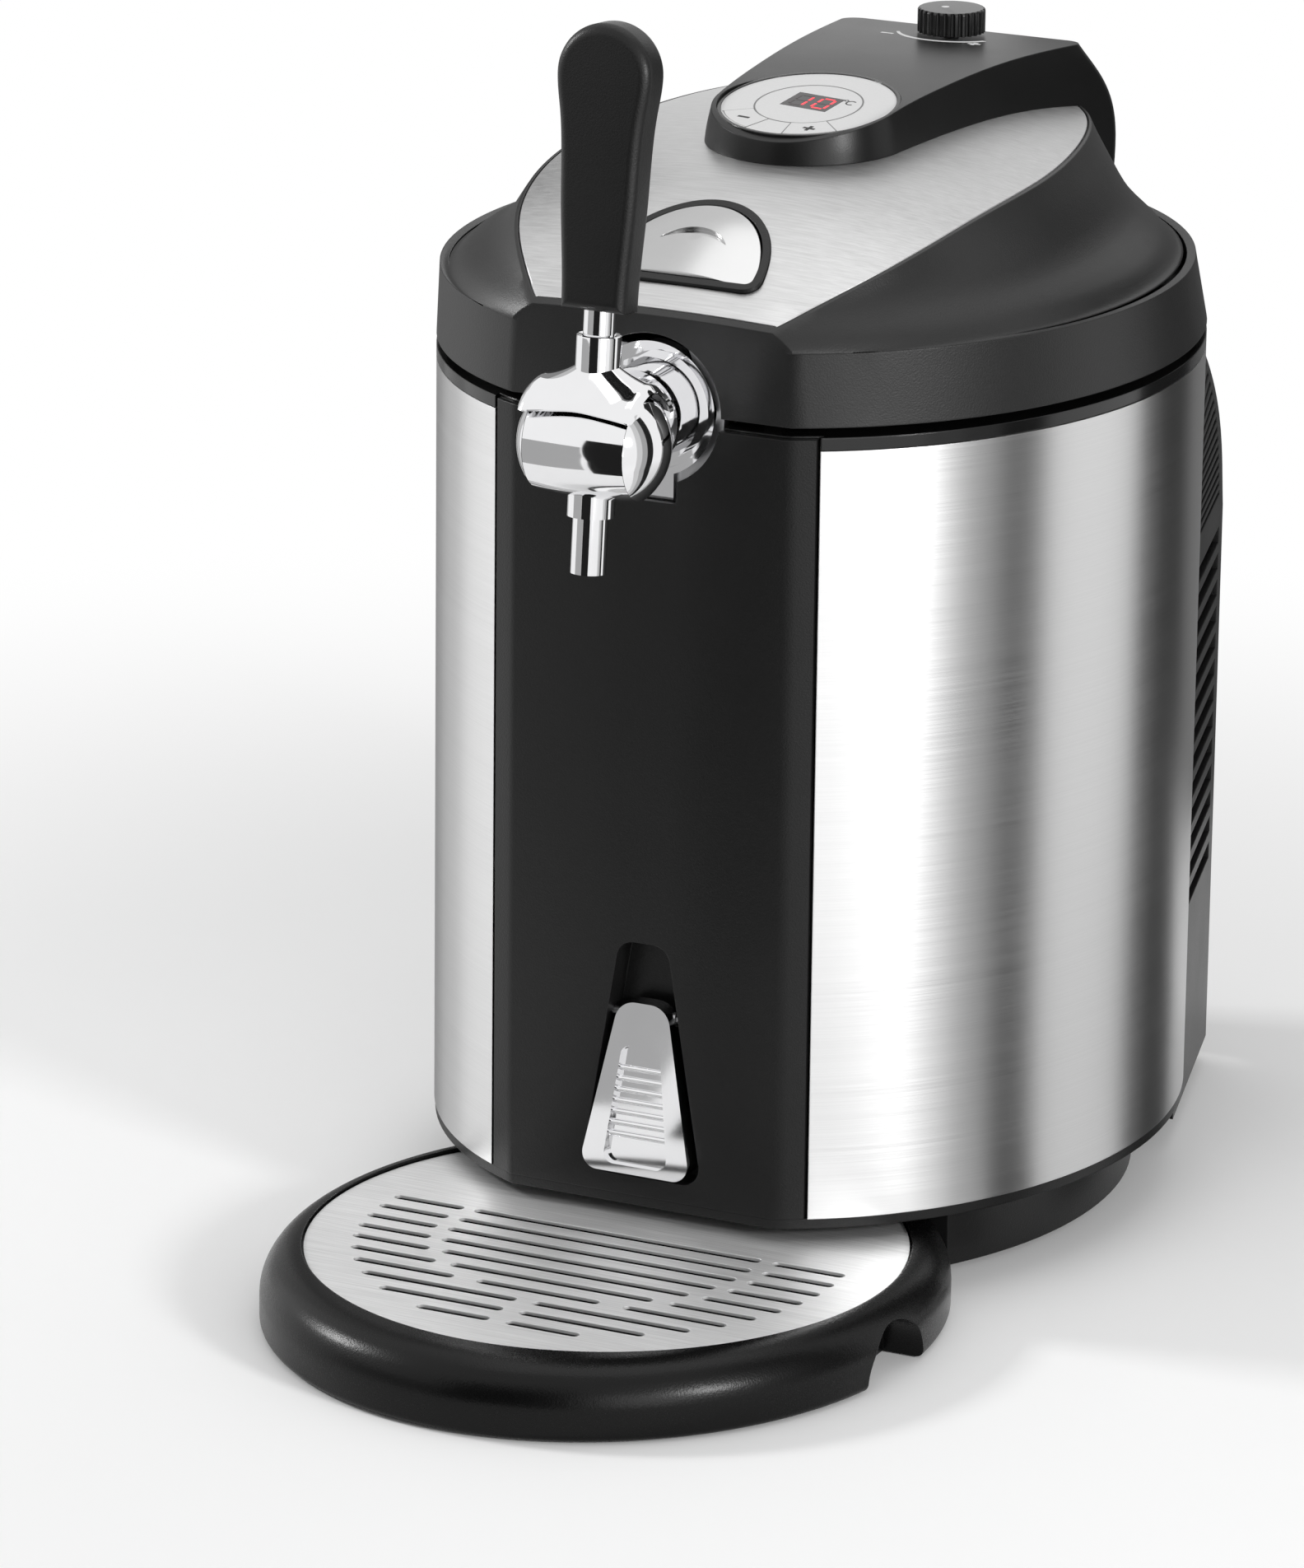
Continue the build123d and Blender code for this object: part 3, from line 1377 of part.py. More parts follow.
# Release lever: a bell-shaped paddle with a ribbed scoop, on a pin at its top
def make_release_lever():
    outline = tapered_face(release_low_z, release_high_z, release_low_half, release_high_half,
                           release_low_corner, release_high_corner)
    paddle = slab_y(outline, release_low_y, release_back_y)
    wedge = Polygon((release_low_y, release_low_z - overrun), (release_back_y + overrun, release_low_z - overrun),
                    (release_back_y + overrun, release_high_z + overrun),
                    (release_high_y, release_high_z + overrun), align=None)
    paddle &= slab_x(wedge, overall_width)
    scoop = tapered_face(release_scoop_low_z, release_scoop_high_z,
                         release_scoop_low_half, release_scoop_high_half,
                         release_scoop_corner, release_scoop_corner)
    ribs = Part()
    for row in range(release_rib_count):
        z = release_rib_low_z + row * release_rib_pitch
        share = (z - release_low_z) / (release_high_z - release_low_z)
        y = release_low_y + share * (release_high_y - release_low_y) + release_scoop_depth
        ribs += rod_x(release_rib_radius, -release_low_half, release_low_half, y, z)
    deep = slab_y(scoop, release_low_y - overrun, release_back_y)
    floor = Pos(0, release_scoop_depth, 0) * slab_x(wedge, overall_width)
    paddle -= deep - floor - ribs
    paddle += rod_x(release_eye_radius, -release_eye_half, release_eye_half, release_pin_y, release_pin_z)
    spring_room = release_pin_radius + seat_gap + release_spring_wall + slide_gap
    paddle -= rod_x(spring_room, release_eye_half, release_low_half, release_pin_y, release_pin_z)
    return paddle - rod_x(release_pin_radius + run_gap, -release_low_half, release_low_half,
                          release_pin_y, release_pin_z)


def make_release_pin():
    share = (release_pin_z - pocket_low_z) / (pocket_high_z - pocket_low_z)
    half = pocket_low_half + share * (pocket_high_half - pocket_low_half) + pocket_wall / 2
    return rod_x(release_pin_radius, -half, half, release_pin_y, release_pin_z)


def make_release_spring():
    low = release_eye_half + seat_gap
    outer = release_pin_radius + seat_gap + release_spring_wall
    tube = rod_x(outer, low, low + release_spring_length, release_pin_y, release_pin_z)
    return tube - rod_x(release_pin_radius + seat_gap, 0, 2 * low + release_spring_length,
                        release_pin_y, release_pin_z)


right_side_shell, left_side_shell = make_side_shells()
nodes = {
    "base_pan": make_base_pan(),
    "rubber_feet": make_rubber_feet(),
    "front_panel": make_front_panel(),
    "left_side_shell": left_side_shell,
    "right_side_shell": right_side_shell,
    "top_deck": make_top_deck(),
    "keg_chamber": make_keg_chamber(),
    "insulation_jacket": make_insulation_jacket(),
    "cold_block": make_cold_block(),
    "cooling_module": make_cooling_module(),
    "heat_sink": make_heat_sink(),
    "fan_frame": make_fan_frame(),
    "fan_rotor": make_fan_rotor(),
    "rear_housing": make_rear_housing(),
    "housing_screws": make_housing_screws(),
    "power_board": make_power_board(),
    "power_inlet": make_power_inlet(),
    "hinge_bracket": make_hinge_bracket(),
    "hinge_pin": make_hinge_pin(),
    "tap_barrel": make_tap_barrel(),
    "barrel_caps": make_barrel_caps(),
    "tap_flange": make_tap_flange(),
    "tap_shank": make_tap_shank(),
    "shank_seals": make_shank_seals(),
    "tap_bracket": make_tap_bracket(),
    "shank_nut": make_shank_nut(),
    "beer_nipple": make_beer_nipple(),
    "valve_plunger": make_valve_plunger(),
    "spout_collar": make_spout_collar(),
    "tap_spout": make_tap_spout(),
    "lever_hood": make_lever_hood(),
    "lever_stem": make_lever_stem(),
    "lever_pin": make_lever_pin(),
    "tap_handle": make_tap_handle(),
    "lid_frame": make_lid_frame(),
    "lid_plate": make_lid_plate(),
    "lid_inner_cover": make_lid_inner_cover(),
    "lid_screws": make_lid_screws(),
    "lid_gasket": make_lid_gasket(),
    "button_surround": make_button_surround(),
    "lid_button": make_lid_button(),
    "button_spring": make_button_spring(),
    "lid_latch": make_lid_latch(),
    "control_head": make_control_head(),
    "disc_bezel": make_disc_bezel(),
    "control_disc": make_control_disc(),
    "display_window": make_display_window(),
    "minus_key": make_key(-1),
    "plus_key": make_key(1),
    "control_board": make_control_board(),
    "pressure_knob": make_pressure_knob(),
    "knob_spindle": make_knob_spindle(),
    "gas_regulator": make_gas_regulator(),
    "gas_cartridge": make_gas_cartridge(),
    "gas_outlet": make_gas_outlet(),
    "drip_tray": make_drip_tray(),
    "drip_grid": make_drip_grid(),
    "release_lever": make_release_lever(),
    "release_pin": make_release_pin(),
    "release_spring": make_release_spring(),
}

os.makedirs("parts", exist_ok=True)
for name, shape in nodes.items():
    export_step(shape, f"parts/{name}.step")
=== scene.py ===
import json
from math import acos, atan2, cos, radians, sin
import bmesh
import bpy
from mathutils import Matrix, Vector
from mathutils.bvhtree import BVHTree


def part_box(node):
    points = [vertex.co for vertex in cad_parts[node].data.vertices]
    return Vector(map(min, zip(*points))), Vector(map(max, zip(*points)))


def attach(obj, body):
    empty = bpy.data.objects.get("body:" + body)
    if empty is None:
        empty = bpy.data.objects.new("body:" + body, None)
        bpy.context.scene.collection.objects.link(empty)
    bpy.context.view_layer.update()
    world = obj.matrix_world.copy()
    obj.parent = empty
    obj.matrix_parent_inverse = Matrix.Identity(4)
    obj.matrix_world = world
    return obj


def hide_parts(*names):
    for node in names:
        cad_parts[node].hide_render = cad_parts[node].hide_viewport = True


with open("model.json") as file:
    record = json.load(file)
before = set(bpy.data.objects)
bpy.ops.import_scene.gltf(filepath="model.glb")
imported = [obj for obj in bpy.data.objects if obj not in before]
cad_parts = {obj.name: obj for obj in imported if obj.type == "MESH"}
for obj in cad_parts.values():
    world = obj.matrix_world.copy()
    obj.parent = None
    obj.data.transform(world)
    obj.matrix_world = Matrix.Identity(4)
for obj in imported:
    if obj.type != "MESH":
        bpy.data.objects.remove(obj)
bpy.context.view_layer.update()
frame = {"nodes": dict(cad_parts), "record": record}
cad = frame["nodes"]
bodies = frame["record"]["behaviour"]["bodies"]
bodyOf = {node: body for body, names in bodies.items() for node in names}
slotOf = {entry["node"]: entry["material_slot"] for entry in frame["record"]["subparts"]}
mm = 0.001


# A wired socket takes part in sums and products, and each adds its Math node
class Wire:
    def __init__(self, graph, socket):
        self.graph = graph
        self.socket = socket

    def math(self, operation, first, second):
        return self.graph.make("ShaderNodeMath", {"operation": operation}, {0: first, 1: second})

    def also(self, output):
        return Wire(self.graph, self.socket.node.outputs[output])

    def __add__(self, other):
        return self.math("ADD", self, other)

    def __radd__(self, other):
        return self.math("ADD", other, self)

    def __sub__(self, other):
        return self.math("SUBTRACT", self, other)

    def __rsub__(self, other):
        return self.math("SUBTRACT", other, self)

    def __mul__(self, other):
        return self.math("MULTIPLY", self, other)

    def __rmul__(self, other):
        return self.math("MULTIPLY", other, self)


# The sockets of a Mix node that blends colours
mixSocket = {"share": 0, "low": 6, "high": 7, "result": 2}


class Graph:
    def __init__(self, owner):
        owner.use_nodes = True
        self.owner = owner
        self.tree = owner.node_tree
        self.tree.nodes.clear()

    def make(self, kind, settings, inputs, output=0):
        node = self.tree.nodes.new(kind)
        for key, value in settings.items():
            setattr(node, key, value)
        for key, value in inputs.items():
            if isinstance(value, Wire):
                self.tree.links.new(value.socket, node.inputs[key])
            else:
                node.inputs[key].default_value = value
        return Wire(self, node.outputs[output]) if node.outputs else None

    def noise(self, stretch, detail=3.0, rough=0.55):
        place = self.make("ShaderNodeTexCoord", {}, {}, "Object")
        spot = self.make("ShaderNodeMapping", {}, {"Vector": place, "Scale": stretch})
        return self.make("ShaderNodeTexNoise", {}, {
            "Vector": spot, "Scale": 1.0, "Detail": detail, "Roughness": rough})

    def blendColor(self, share, low, high):
        return self.make("ShaderNodeMix", {"data_type": "RGBA"}, {
            mixSocket["share"]: share,
            mixSocket["low"]: (*low, 1.0),
            mixSocket["high"]: (*high, 1.0)}, mixSocket["result"])

    def bump(self, height, strength, depth, edge=0.0):
        inputs = {"Height": height, "Strength": strength, "Distance": depth}
        if edge:  # small rounding of hard edges in the shading
            inputs["Normal"] = self.make("ShaderNodeBevel", {"samples": 4}, {"Radius": edge})
        return self.make("ShaderNodeBump", {}, inputs)

    def glow(self, tone):
        return self.make("ShaderNodeEmission", {}, {"Color": (*even(tone), 1.0), "Strength": 1.0})

    def mixShaders(self, share, first, second):
        return self.make("ShaderNodeMixShader", {}, {0: share, 1: first, 2: second})

    def show(self, shader, output="ShaderNodeOutputMaterial"):
        self.make(output, {}, {"Surface": shader})
        return self.owner

    def surface(self, inputs):
        return self.show(self.make("ShaderNodeBsdfPrincipled", {}, inputs))


def newLook(name):
    return Graph(bpy.data.materials.new(name))


def even(value):
    return (value, value, value)


def shade(tone, factor):
    return tuple(min(factor * part, 1.0) for part in tone)


# Moulded plastic: fine spark-eroded grain over slow cloudy variation
plastic = {"cloud": 23.0, "dark": 0.80, "light": 1.25, "cloudTone": 0.6, "grainTone": 0.4,
           "cloudRough": 0.08, "grainRough": 0.06, "middle": 0.07}


def moulded(name, tone, rough, grain, depth, gloss=0.24, edge=0.0007, grit=0.4):
    g, p = newLook(name), plastic
    fine = g.noise(even(grain), 2.0)
    broad = g.noise(even(p["cloud"]), 4.0)
    share = broad * p["cloudTone"] + fine * p["grainTone"]
    return g.surface({
        "Base Color": g.blendColor(share, shade(tone, p["dark"]), shade(tone, p["light"])),
        "Roughness": broad * p["cloudRough"] + fine * p["grainRough"] + (rough - p["middle"]),
        "Specular IOR Level": gloss,
        "Normal": g.bump(fine, grit, depth, edge)})


# Brushed sheet: long scratches, slightly uneven tone and sheen
sheet = {"cloud": 14.0, "dark": 0.88, "light": 1.10, "lineTone": 0.8, "cloudTone": 0.2,
         "lineRough": 0.14, "cloudRough": 0.04, "middle": 0.09,
         "turn": 0.25, "depth": 0.00004, "edge": 0.0004}


def brushed(name, tone, rough, stretch, stretchiness, strength, contrast):
    g, s = newLook(name), sheet
    lines = g.noise(stretch, 4.0, 0.65)
    cloud = g.noise(even(s["cloud"]), 2.0)
    share = (lines * s["lineTone"] + cloud * s["cloudTone"] - 0.5) * contrast + 0.5
    return g.surface({
        "Base Color": g.blendColor(share, shade(tone, s["dark"]), shade(tone, s["light"])),
        "Metallic": 1.0,
        "Roughness": lines * s["lineRough"] + cloud * s["cloudRough"] + (rough - s["middle"]),
        "Anisotropic": stretchiness, "Anisotropic Rotation": s["turn"],
        "Normal": g.bump(lines, strength, s["depth"], s["edge"])})


# Bare and plated metal: a fine polish under faint clouds of wear
polish = {"cloud": 60.0, "fine": 900.0, "dark": 0.93, "fineWear": 0.5,
          "strength": 0.03, "depth": 0.00001}


def metal(name, tone, rough, wear, edge=0.0004):
    g, p = newLook(name), polish
    cloud = g.noise(even(p["cloud"]), 5.0)
    fine = g.noise(even(p["fine"]), 2.0)
    return g.surface({
        "Base Color": g.blendColor(cloud, shade(tone, p["dark"]), tone),
        "Metallic": 1.0,
        "Roughness": cloud * wear + fine * wear * p["fineWear"] + rough,
        "Normal": g.bump(fine, p["strength"], p["depth"], edge)})


# Print, film, foam and the like: two close tones in small cells
cellular = {"rough": 0.15, "middle": 0.07, "gloss": 0.4, "strength": 0.3}


def plain(name, low, high, scale, rough, depth=0.00001):
    g, c = newLook(name), cellular
    cells = g.noise(even(scale), 4.0)
    return g.surface({
        "Base Color": g.blendColor(cells, low, high),
        "Roughness": cells * c["rough"] + (rough - c["middle"]),
        "Specular IOR Level": c["gloss"],
        "Normal": g.bump(cells, c["strength"], depth)})


# Lit segments of a display
segments = {"cells": 2500.0, "dark": 0.75, "rough": 0.35}


def glowing(name, tone, strength):
    g, s = newLook(name), segments
    color = g.blendColor(g.noise(even(s["cells"]), 2.0), shade(tone, s["dark"]), tone)
    return g.surface({"Base Color": color, "Roughness": s["rough"],
                      "Emission Color": color, "Emission Strength": strength})


looks = {
    "satin_black": moulded("satinBlack", even(0.0075), 0.37, 1500.0, 0.00022, 0.28),
    "gloss_black": moulded("halfGlossBlack", even(0.0062), 0.32, 2300.0, 0.00008),
    "brushed_steel": brushed("brushedShell", even(0.70), 0.33, (5.0, 5.0, 2600.0), 0.75, 0.25, 1.0),
    "chrome": metal("chrome", (0.88, 0.88, 0.89), 0.03, 0.03, 0.0),
    "silver_film": plain("silverFilm", even(0.70), even(0.78), 1200.0, 0.42),
    "display_glass": moulded("displayWindow", (0.012, 0.009, 0.010), 0.16, 300.0, 0.000005, 0.5, 0.0003),
    "plain_steel": metal("plainSteel", (0.56, 0.56, 0.57), 0.24, 0.12),
    "aluminium": metal("aluminium", (0.72, 0.73, 0.74), 0.30, 0.14),
    "brass": metal("brass", (0.72, 0.53, 0.22), 0.20, 0.14),
    "black_rubber": moulded("blackRubber", even(0.012), 0.72, 1100.0, 0.00008, 0.3),
    "circuit_board": plain("circuitBoard", (0.012, 0.09, 0.035), (0.02, 0.15, 0.06), 420.0, 0.38),
    "foam": plain("foam", (0.66, 0.60, 0.44), (0.80, 0.75, 0.60), 700.0, 0.85, 0.0002),
    "ceramic": plain("ceramic", (0.78, 0.78, 0.75), (0.88, 0.88, 0.86), 260.0, 0.45),
    "grey_paint": moulded("greyPaint", (0.26, 0.27, 0.29), 0.36, 700.0, 0.00004),
}
plateSteel = brushed("brushedPlate", even(0.53), 0.40, (42.0, 1100.0, 1100.0), 0.0, 1.0, 3.2)
gridSteel = brushed("brushedGrid", even(0.80), 0.58, (26.0, 1400.0, 1400.0), 0.0, 0.8, 3.0)
buttonChrome = metal("buttonChrome", even(0.52), 0.16, 0.05)
trayBlack = moulded("trayBlack", even(0.0025), 0.27, 1400.0, 0.00012, 0.2, grit=0.5)
lidBlack = moulded("lidBlack", even(0.0075), 0.40, 1500.0, 0.0002, 0.44)
bandGloss = moulded("bandGloss", even(0.006), 0.16, 2200.0, 0.00001, 0.5)
knobGloss = moulded("knobGloss", even(0.007), 0.24, 2600.0, 0.00002, 0.45, 0.0003)
printWhite = plain("printWhite", even(0.74), even(0.84), 1500.0, 0.5)
printGrey = plain("printGrey", even(0.17), even(0.23), 1500.0, 0.5)
printBlack = plain("printBlack", even(0.010), even(0.018), 1500.0, 0.5)
litRed = glowing("litRed", (0.95, 0.03, 0.05), 1.0)
unlitRed = plain("unlitRed", (0.030, 0.022, 0.024), (0.042, 0.032, 0.034), 1500.0, 0.3)
special = {"lid_plate": plateSteel, "drip_grid": gridSteel, "top_deck": bandGloss,
           "disc_bezel": bandGloss, "pressure_knob": knobGloss, "lid_button": buttonChrome,
           "drip_tray": trayBlack, "lid_frame": lidBlack}


def addMesh(name, bm, material):
    mesh = bpy.data.meshes.new(name)
    bm.to_mesh(mesh)
    bm.free()
    mesh.materials.append(material)
    thing = bpy.data.objects.new(name, mesh)
    bpy.context.scene.collection.objects.link(thing)
    return thing


def addPiece(name, bm, material, body):
    piece = addMesh(name, bm, material)
    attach(piece, body)
    return piece


# A piece that stands for a solid is smooth over its curves and crisp at its edges
def standFor(node, name, bm, material, crisp):
    for face in bm.faces:
        face.smooth = True
    for edge in bm.edges:
        if len(edge.link_faces) == 2:
            edge.smooth = edge.calc_face_angle() < radians(crisp)
    piece = addPiece(name, bm, material, bodyOf[node])
    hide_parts(node)


# Most solids are shown through a merged copy
merged = {"within": 2e-6, "crisp": 28.0}


def dress(node, change=None):
    bm = bmesh.new()
    bm.from_mesh(cad[node].data)
    bmesh.ops.remove_doubles(bm, verts=bm.verts, dist=merged["within"])
    if change:
        change(bm)
    standFor(node, "look_" + node, bm, special.get(node, looks[slotOf[node]]), merged["crisp"])


# The grid's rear rows are closed, so that slots start in front of the panel
rearRows = {"front": -0.099, "edge": 0.0004, "upright": 0.5,
            "middle": (0, -0.115, 0.0256), "reach": 0.0925}


def closeRearRows(bm):
    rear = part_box("drip_grid")[1][1] - rearRows["edge"]
    walls = []
    for face in bm.faces:
        spot = face.calc_center_median()
        inRows = rearRows["front"] < spot.y < rear
        inRim = (spot - Vector(rearRows["middle"])).length < rearRows["reach"]
        if inRows and inRim and abs(face.normal.z) < rearRows["upright"]:
            walls.append(face)
    bmesh.ops.delete(bm, geom=walls, context="FACES")
    bmesh.ops.holes_fill(bm, edges=[edge for edge in bm.edges if len(edge.link_faces) == 1], sides=0)
    bmesh.ops.triangulate(bm, faces=[face for face in bm.faces if len(face.verts) > 4])


newForms = ("tap_barrel", "barrel_caps", "lever_hood")
for node in cad:
    if node not in newForms:
        dress(node, closeRearRows if node == "drip_grid" else None)
print("stage: dressed", len(cad) - len(newForms), "solids")

# Tap barrel with a slight belly and domed ends, all spun about its cross axis
tap = {"y": -128.8, "z": 329.5, "lean": -5.0, "sink": -1.9, "within": 0.001, "crisp": 50.0}
belly = {"half": 19.3, "end": 18.1, "swell": 1.3, "steps": 24}
dome = {"radius": 24.2, "centre": 3.4, "seam": 19.45, "steps": 16, "turns": 72}


def spinLine(bm, spots, axis, turns):
    line = [bm.verts.new(spot) for spot in spots]
    edges = [bm.edges.new(pair) for pair in zip(line, line[1:])]
    bmesh.ops.spin(bm, geom=line + edges, cent=(0, 0, 0), axis=axis, angle=radians(360),
                   steps=turns, use_merge=True)


def spinAcross(bm, spots):
    spinLine(bm, [(x, 0, r) for x, r in spots], (1, 0, 0), dome["turns"])


def tapPiece(name, bm, node, lean, sink, crisp):
    bmesh.ops.remove_doubles(bm, verts=bm.verts, dist=tap["within"])
    bmesh.ops.recalc_face_normals(bm, faces=bm.faces)
    shift = Matrix.Translation((0, tap["y"], tap["z"] + sink))
    spot = Matrix.Scale(mm, 4) @ shift @ Matrix.Rotation(radians(lean), 4, "X")
    bmesh.ops.transform(bm, matrix=spot, verts=bm.verts)
    standFor(node, name, bm, looks["chrome"], crisp)


def bellySpot(step):
    share = 2 * step / belly["steps"] - 1
    x = belly["half"] * share
    return (x, belly["end"] + belly["swell"] * (1 - (x / belly["half"]) ** 2))


bm = bmesh.new()
spots = [bellySpot(step) for step in range(belly["steps"] + 1)]
spinAcross(bm, [(-belly["half"], 0)] + spots + [(belly["half"], 0)])
tapPiece("barrel_belly", bm, "tap_barrel", 0.0, tap["sink"], tap["crisp"])


def formDome(bm, side):
    flat = acos((dome["seam"] - dome["centre"]) / dome["radius"])
    angles = [flat * step / dome["steps"] for step in range(dome["steps"] + 1)]
    spots = [(dome["centre"] + dome["radius"] * cos(a), dome["radius"] * sin(a)) for a in angles]
    spinAcross(bm, [(side * x, r) for x, r in spots + [(dome["seam"], 0)]])


bm = bmesh.new()
for side in (-1, 1):
    formDome(bm, side)
tapPiece("barrel_domes", bm, "barrel_caps", 0.0, tap["sink"], tap["crisp"])

# Hood over the barrel: a neck that flares into a saddle, its skirt drawn down at both ends
hood = {"outer": 21.1, "half": 22.6, "gap": 2.7, "edgeMiddle": 11.6, "edgeEnd": 9.6, "thick": 1.3,
        "neck": 8.0, "neckTop": 36.7, "neckFoot": 26.9, "crisp": 40.0,
        "neckRim": ((-2.0, -0.5), (-0.5, -0.1), (-0.1, -0.4), (0.0, -1.0)),
        "flare": 20.0, "flareRise": 4.4, "flareBend": 1.6, "longest": 40.0, "halvings": 24,
        "spread": 12.0, "crowd": 1.5, "start": 0.001, "rings": 22, "turns": 96}


def saddleRadius(x):
    end = (dome["radius"] + hood["gap"]) ** 2 - (abs(x) - dome["centre"]) ** 2
    return min(hood["outer"], end ** 0.5)


def overSaddle(x, y):
    if abs(x) > hood["half"]:
        return False
    share = min(1.0, abs(x) / hood["half"])
    edge = hood["edgeMiddle"] + (hood["edgeEnd"] - hood["edgeMiddle"]) * share ** 2
    return saddleRadius(x) ** 2 - y * y > edge ** 2


def skirtReach(turn):
    low, high = hood["neck"], hood["longest"]
    for halving in range(hood["halvings"]):
        middle = (low + high) / 2
        if overSaddle(middle * cos(turn), middle * sin(turn)):
            low = middle
        else:
            high = middle
    return low


# The skirt is spun flat, and each of its vertices then moves out and up to the saddle
def ontoSaddle(spot):
    turn = atan2(spot.y, spot.x)
    share = (Vector((spot.x, spot.y)).length - hood["neck"]) / hood["spread"]
    reach = hood["neck"] + share * (skirtReach(turn) - hood["neck"])
    x, y = reach * cos(turn), reach * sin(turn)
    rise = max(0.0, (hood["flare"] - reach) / (hood["flare"] - hood["neck"]))
    saddle = max(saddleRadius(x) ** 2 - y * y, 0) ** 0.5
    return (x, y, saddle + hood["flareRise"] * rise ** hood["flareBend"])


def skirtRing(step):
    spread = hood["spread"] * (step / hood["rings"]) ** hood["crowd"]
    return (hood["neck"] + spread + hood["start"], 0, 0)


bm = bmesh.new()
profile = [(hood["neck"] + out, 0, hood["neckTop"] + up) for out, up in hood["neckRim"]]
profile.append((hood["neck"], 0, hood["neckFoot"]))
profile += [skirtRing(step) for step in range(hood["rings"] + 1)]
spinLine(bm, profile, (0, 0, 1), hood["turns"])
for vertex in bm.verts:
    if vertex.co.z == 0:
        vertex.co = ontoSaddle(vertex.co)
bmesh.ops.recalc_face_normals(bm, faces=bm.faces)
if sum(face.normal.z for face in bm.faces) < 0:
    bmesh.ops.reverse_faces(bm, faces=bm.faces)
bmesh.ops.solidify(bm, geom=bm.faces[:], thickness=hood["thick"])
tapPiece("hood_saddle", bm, "lever_hood", tap["lean"], 0.0, hood["crisp"])
print("stage: tap done")


# Printed marks: drawn flat, given a hair of thickness, then laid on the surface
def flatBar(bm, x, y, length, width, turn=0.0):
    spot = Matrix.Translation((x, y, 0)) @ Matrix.Rotation(radians(turn), 4, "Z")
    bmesh.ops.create_grid(bm, x_segments=1, y_segments=1, size=0.5,
                          matrix=spot @ Matrix.Diagonal((length, width, 1, 1)))


def flatArc(bm, x, y, radius, width, first, last, steps):
    a = radians(first)
    ends = [bm.verts.new((x + r * cos(a), y + r * sin(a), 0))
            for r in (radius - width / 2, radius + width / 2)]
    edge = bm.edges.new(ends)
    bmesh.ops.spin(bm, geom=ends + [edge], cent=(x, y, 0), axis=(0, 0, 1),
                   angle=radians(last - first), steps=steps, use_merge=last - first >= 360)


def flatCross(bm, x, y, length, width):
    flatBar(bm, x, y, length, width)
    rest = (length - width) / 2
    for side in (-1, 1):
        flatBar(bm, x, y + side * (width + rest) / 2, width, rest)


def layMark(name, bm, low, high, place, material, body):
    grown = bmesh.ops.extrude_face_region(bm, geom=bm.faces[:])["geom"]
    raised = [item for item in grown if isinstance(item, bmesh.types.BMVert)]
    bmesh.ops.translate(bm, vec=(0, 0, high - low), verts=raised)
    bmesh.ops.translate(bm, vec=(0, 0, low), verts=bm.verts)
    bmesh.ops.recalc_face_normals(bm, faces=bm.faces)
    place(bm)
    addPiece(name, bm, material, body)


disc = {"y": 46.5, "z": 413.9, "tilt": 8.1, "turn": -8.0, "top": -0.3, "keyTop": -0.15,
        "below": 0.04, "above": 0.05, "ring": 19.8, "ringLine": 0.6, "ringSteps": 96,
        "rim": 31.6, "dividers": (14.3, 51.1),
        "markRadius": 26.0, "markAngle": 32.7, "mark": 4.8, "markLine": 1.35}


def onDisc(bm):
    shift = Matrix.Translation((0, disc["y"], disc["z"]))
    spot = Matrix.Scale(mm, 4) @ shift @ Matrix.Rotation(radians(disc["tilt"]), 4, "X")
    turned = spot @ Matrix.Rotation(radians(disc["turn"]), 4, "Z")
    bmesh.ops.transform(bm, matrix=turned, verts=bm.verts)


def onPrint(name, bm, material, body="lid", top="top"):
    low, high = disc[top] - disc["below"], disc[top] + disc["above"]
    layMark(name, bm, low, high, onDisc, material, body)


bm = bmesh.new()
flatArc(bm, 0, 0, disc["ring"], disc["ringLine"], 0, 360, disc["ringSteps"])
reach = (disc["ring"] + disc["rim"]) / 2
for side in (-1, 1):
    for turn in disc["dividers"]:
        flatBar(bm, side * reach * sin(radians(turn)), -reach * cos(radians(turn)),
                disc["rim"] - disc["ring"], disc["ringLine"], side * turn - 90)
onPrint("disc_ring", bm, printGrey)

# Degree sign: x, y, radius, width, first and last angle, and steps of its two arcs
degreeArcs = ((10.7, 9.0, 0.7, 0.36, 0, 360, 20), (13.5, 7.4, 1.8, 0.6, 50, 310, 24))
bm = bmesh.new()
for arc in degreeArcs:
    flatArc(bm, *arc)
onPrint("disc_degrees", bm, printBlack)

markX, markY = (disc["markRadius"] * f(radians(disc["markAngle"])) for f in (sin, cos))
bm = bmesh.new()
flatBar(bm, -markX, -markY, disc["mark"], disc["markLine"])
onPrint("minus_mark", bm, printBlack, "minus_key", "keyTop")
bm = bmesh.new()
flatCross(bm, markX, -markY, disc["mark"], disc["markLine"])
onPrint("plus_mark", bm, printBlack, "plus_key", "keyTop")

# Two seven-segment figures in the window
figures = {"height": 9.6, "width": 5.4, "line": 1.0, "pitch": 9.4, "centre": 2.5, "gap": 0.16}
segmentAt = {"a": (0, 1, 0), "g": (0, 0, 0), "d": (0, -1, 0), "f": (-1, 0.5, 90),
             "b": (1, 0.5, 90), "e": (-1, -0.5, 90), "c": (1, -0.5, 90)}


def segment(bm, letter, centreX):
    f = figures
    across, along, turn = segmentAt[letter]
    length = (f["height"] / 2 if turn else f["width"]) - f["line"] - 2 * f["gap"]
    x, y = centreX + across * f["width"] / 2, f["centre"] + along * f["height"] / 2
    flatBar(bm, x, y, length, f["line"], turn)


for name, material, parts in (("figures_lit", litRed, (("bc", -1), ("abcdef", 1))),
                              ("figures_unlit", unlitRed, (("adefg", -1), ("g", 1)))):
    bm = bmesh.new()
    for letters, side in parts:
        for letter in letters:
            segment(bm, letter, side * figures["pitch"] / 2)
    onPrint(name, bm, material)

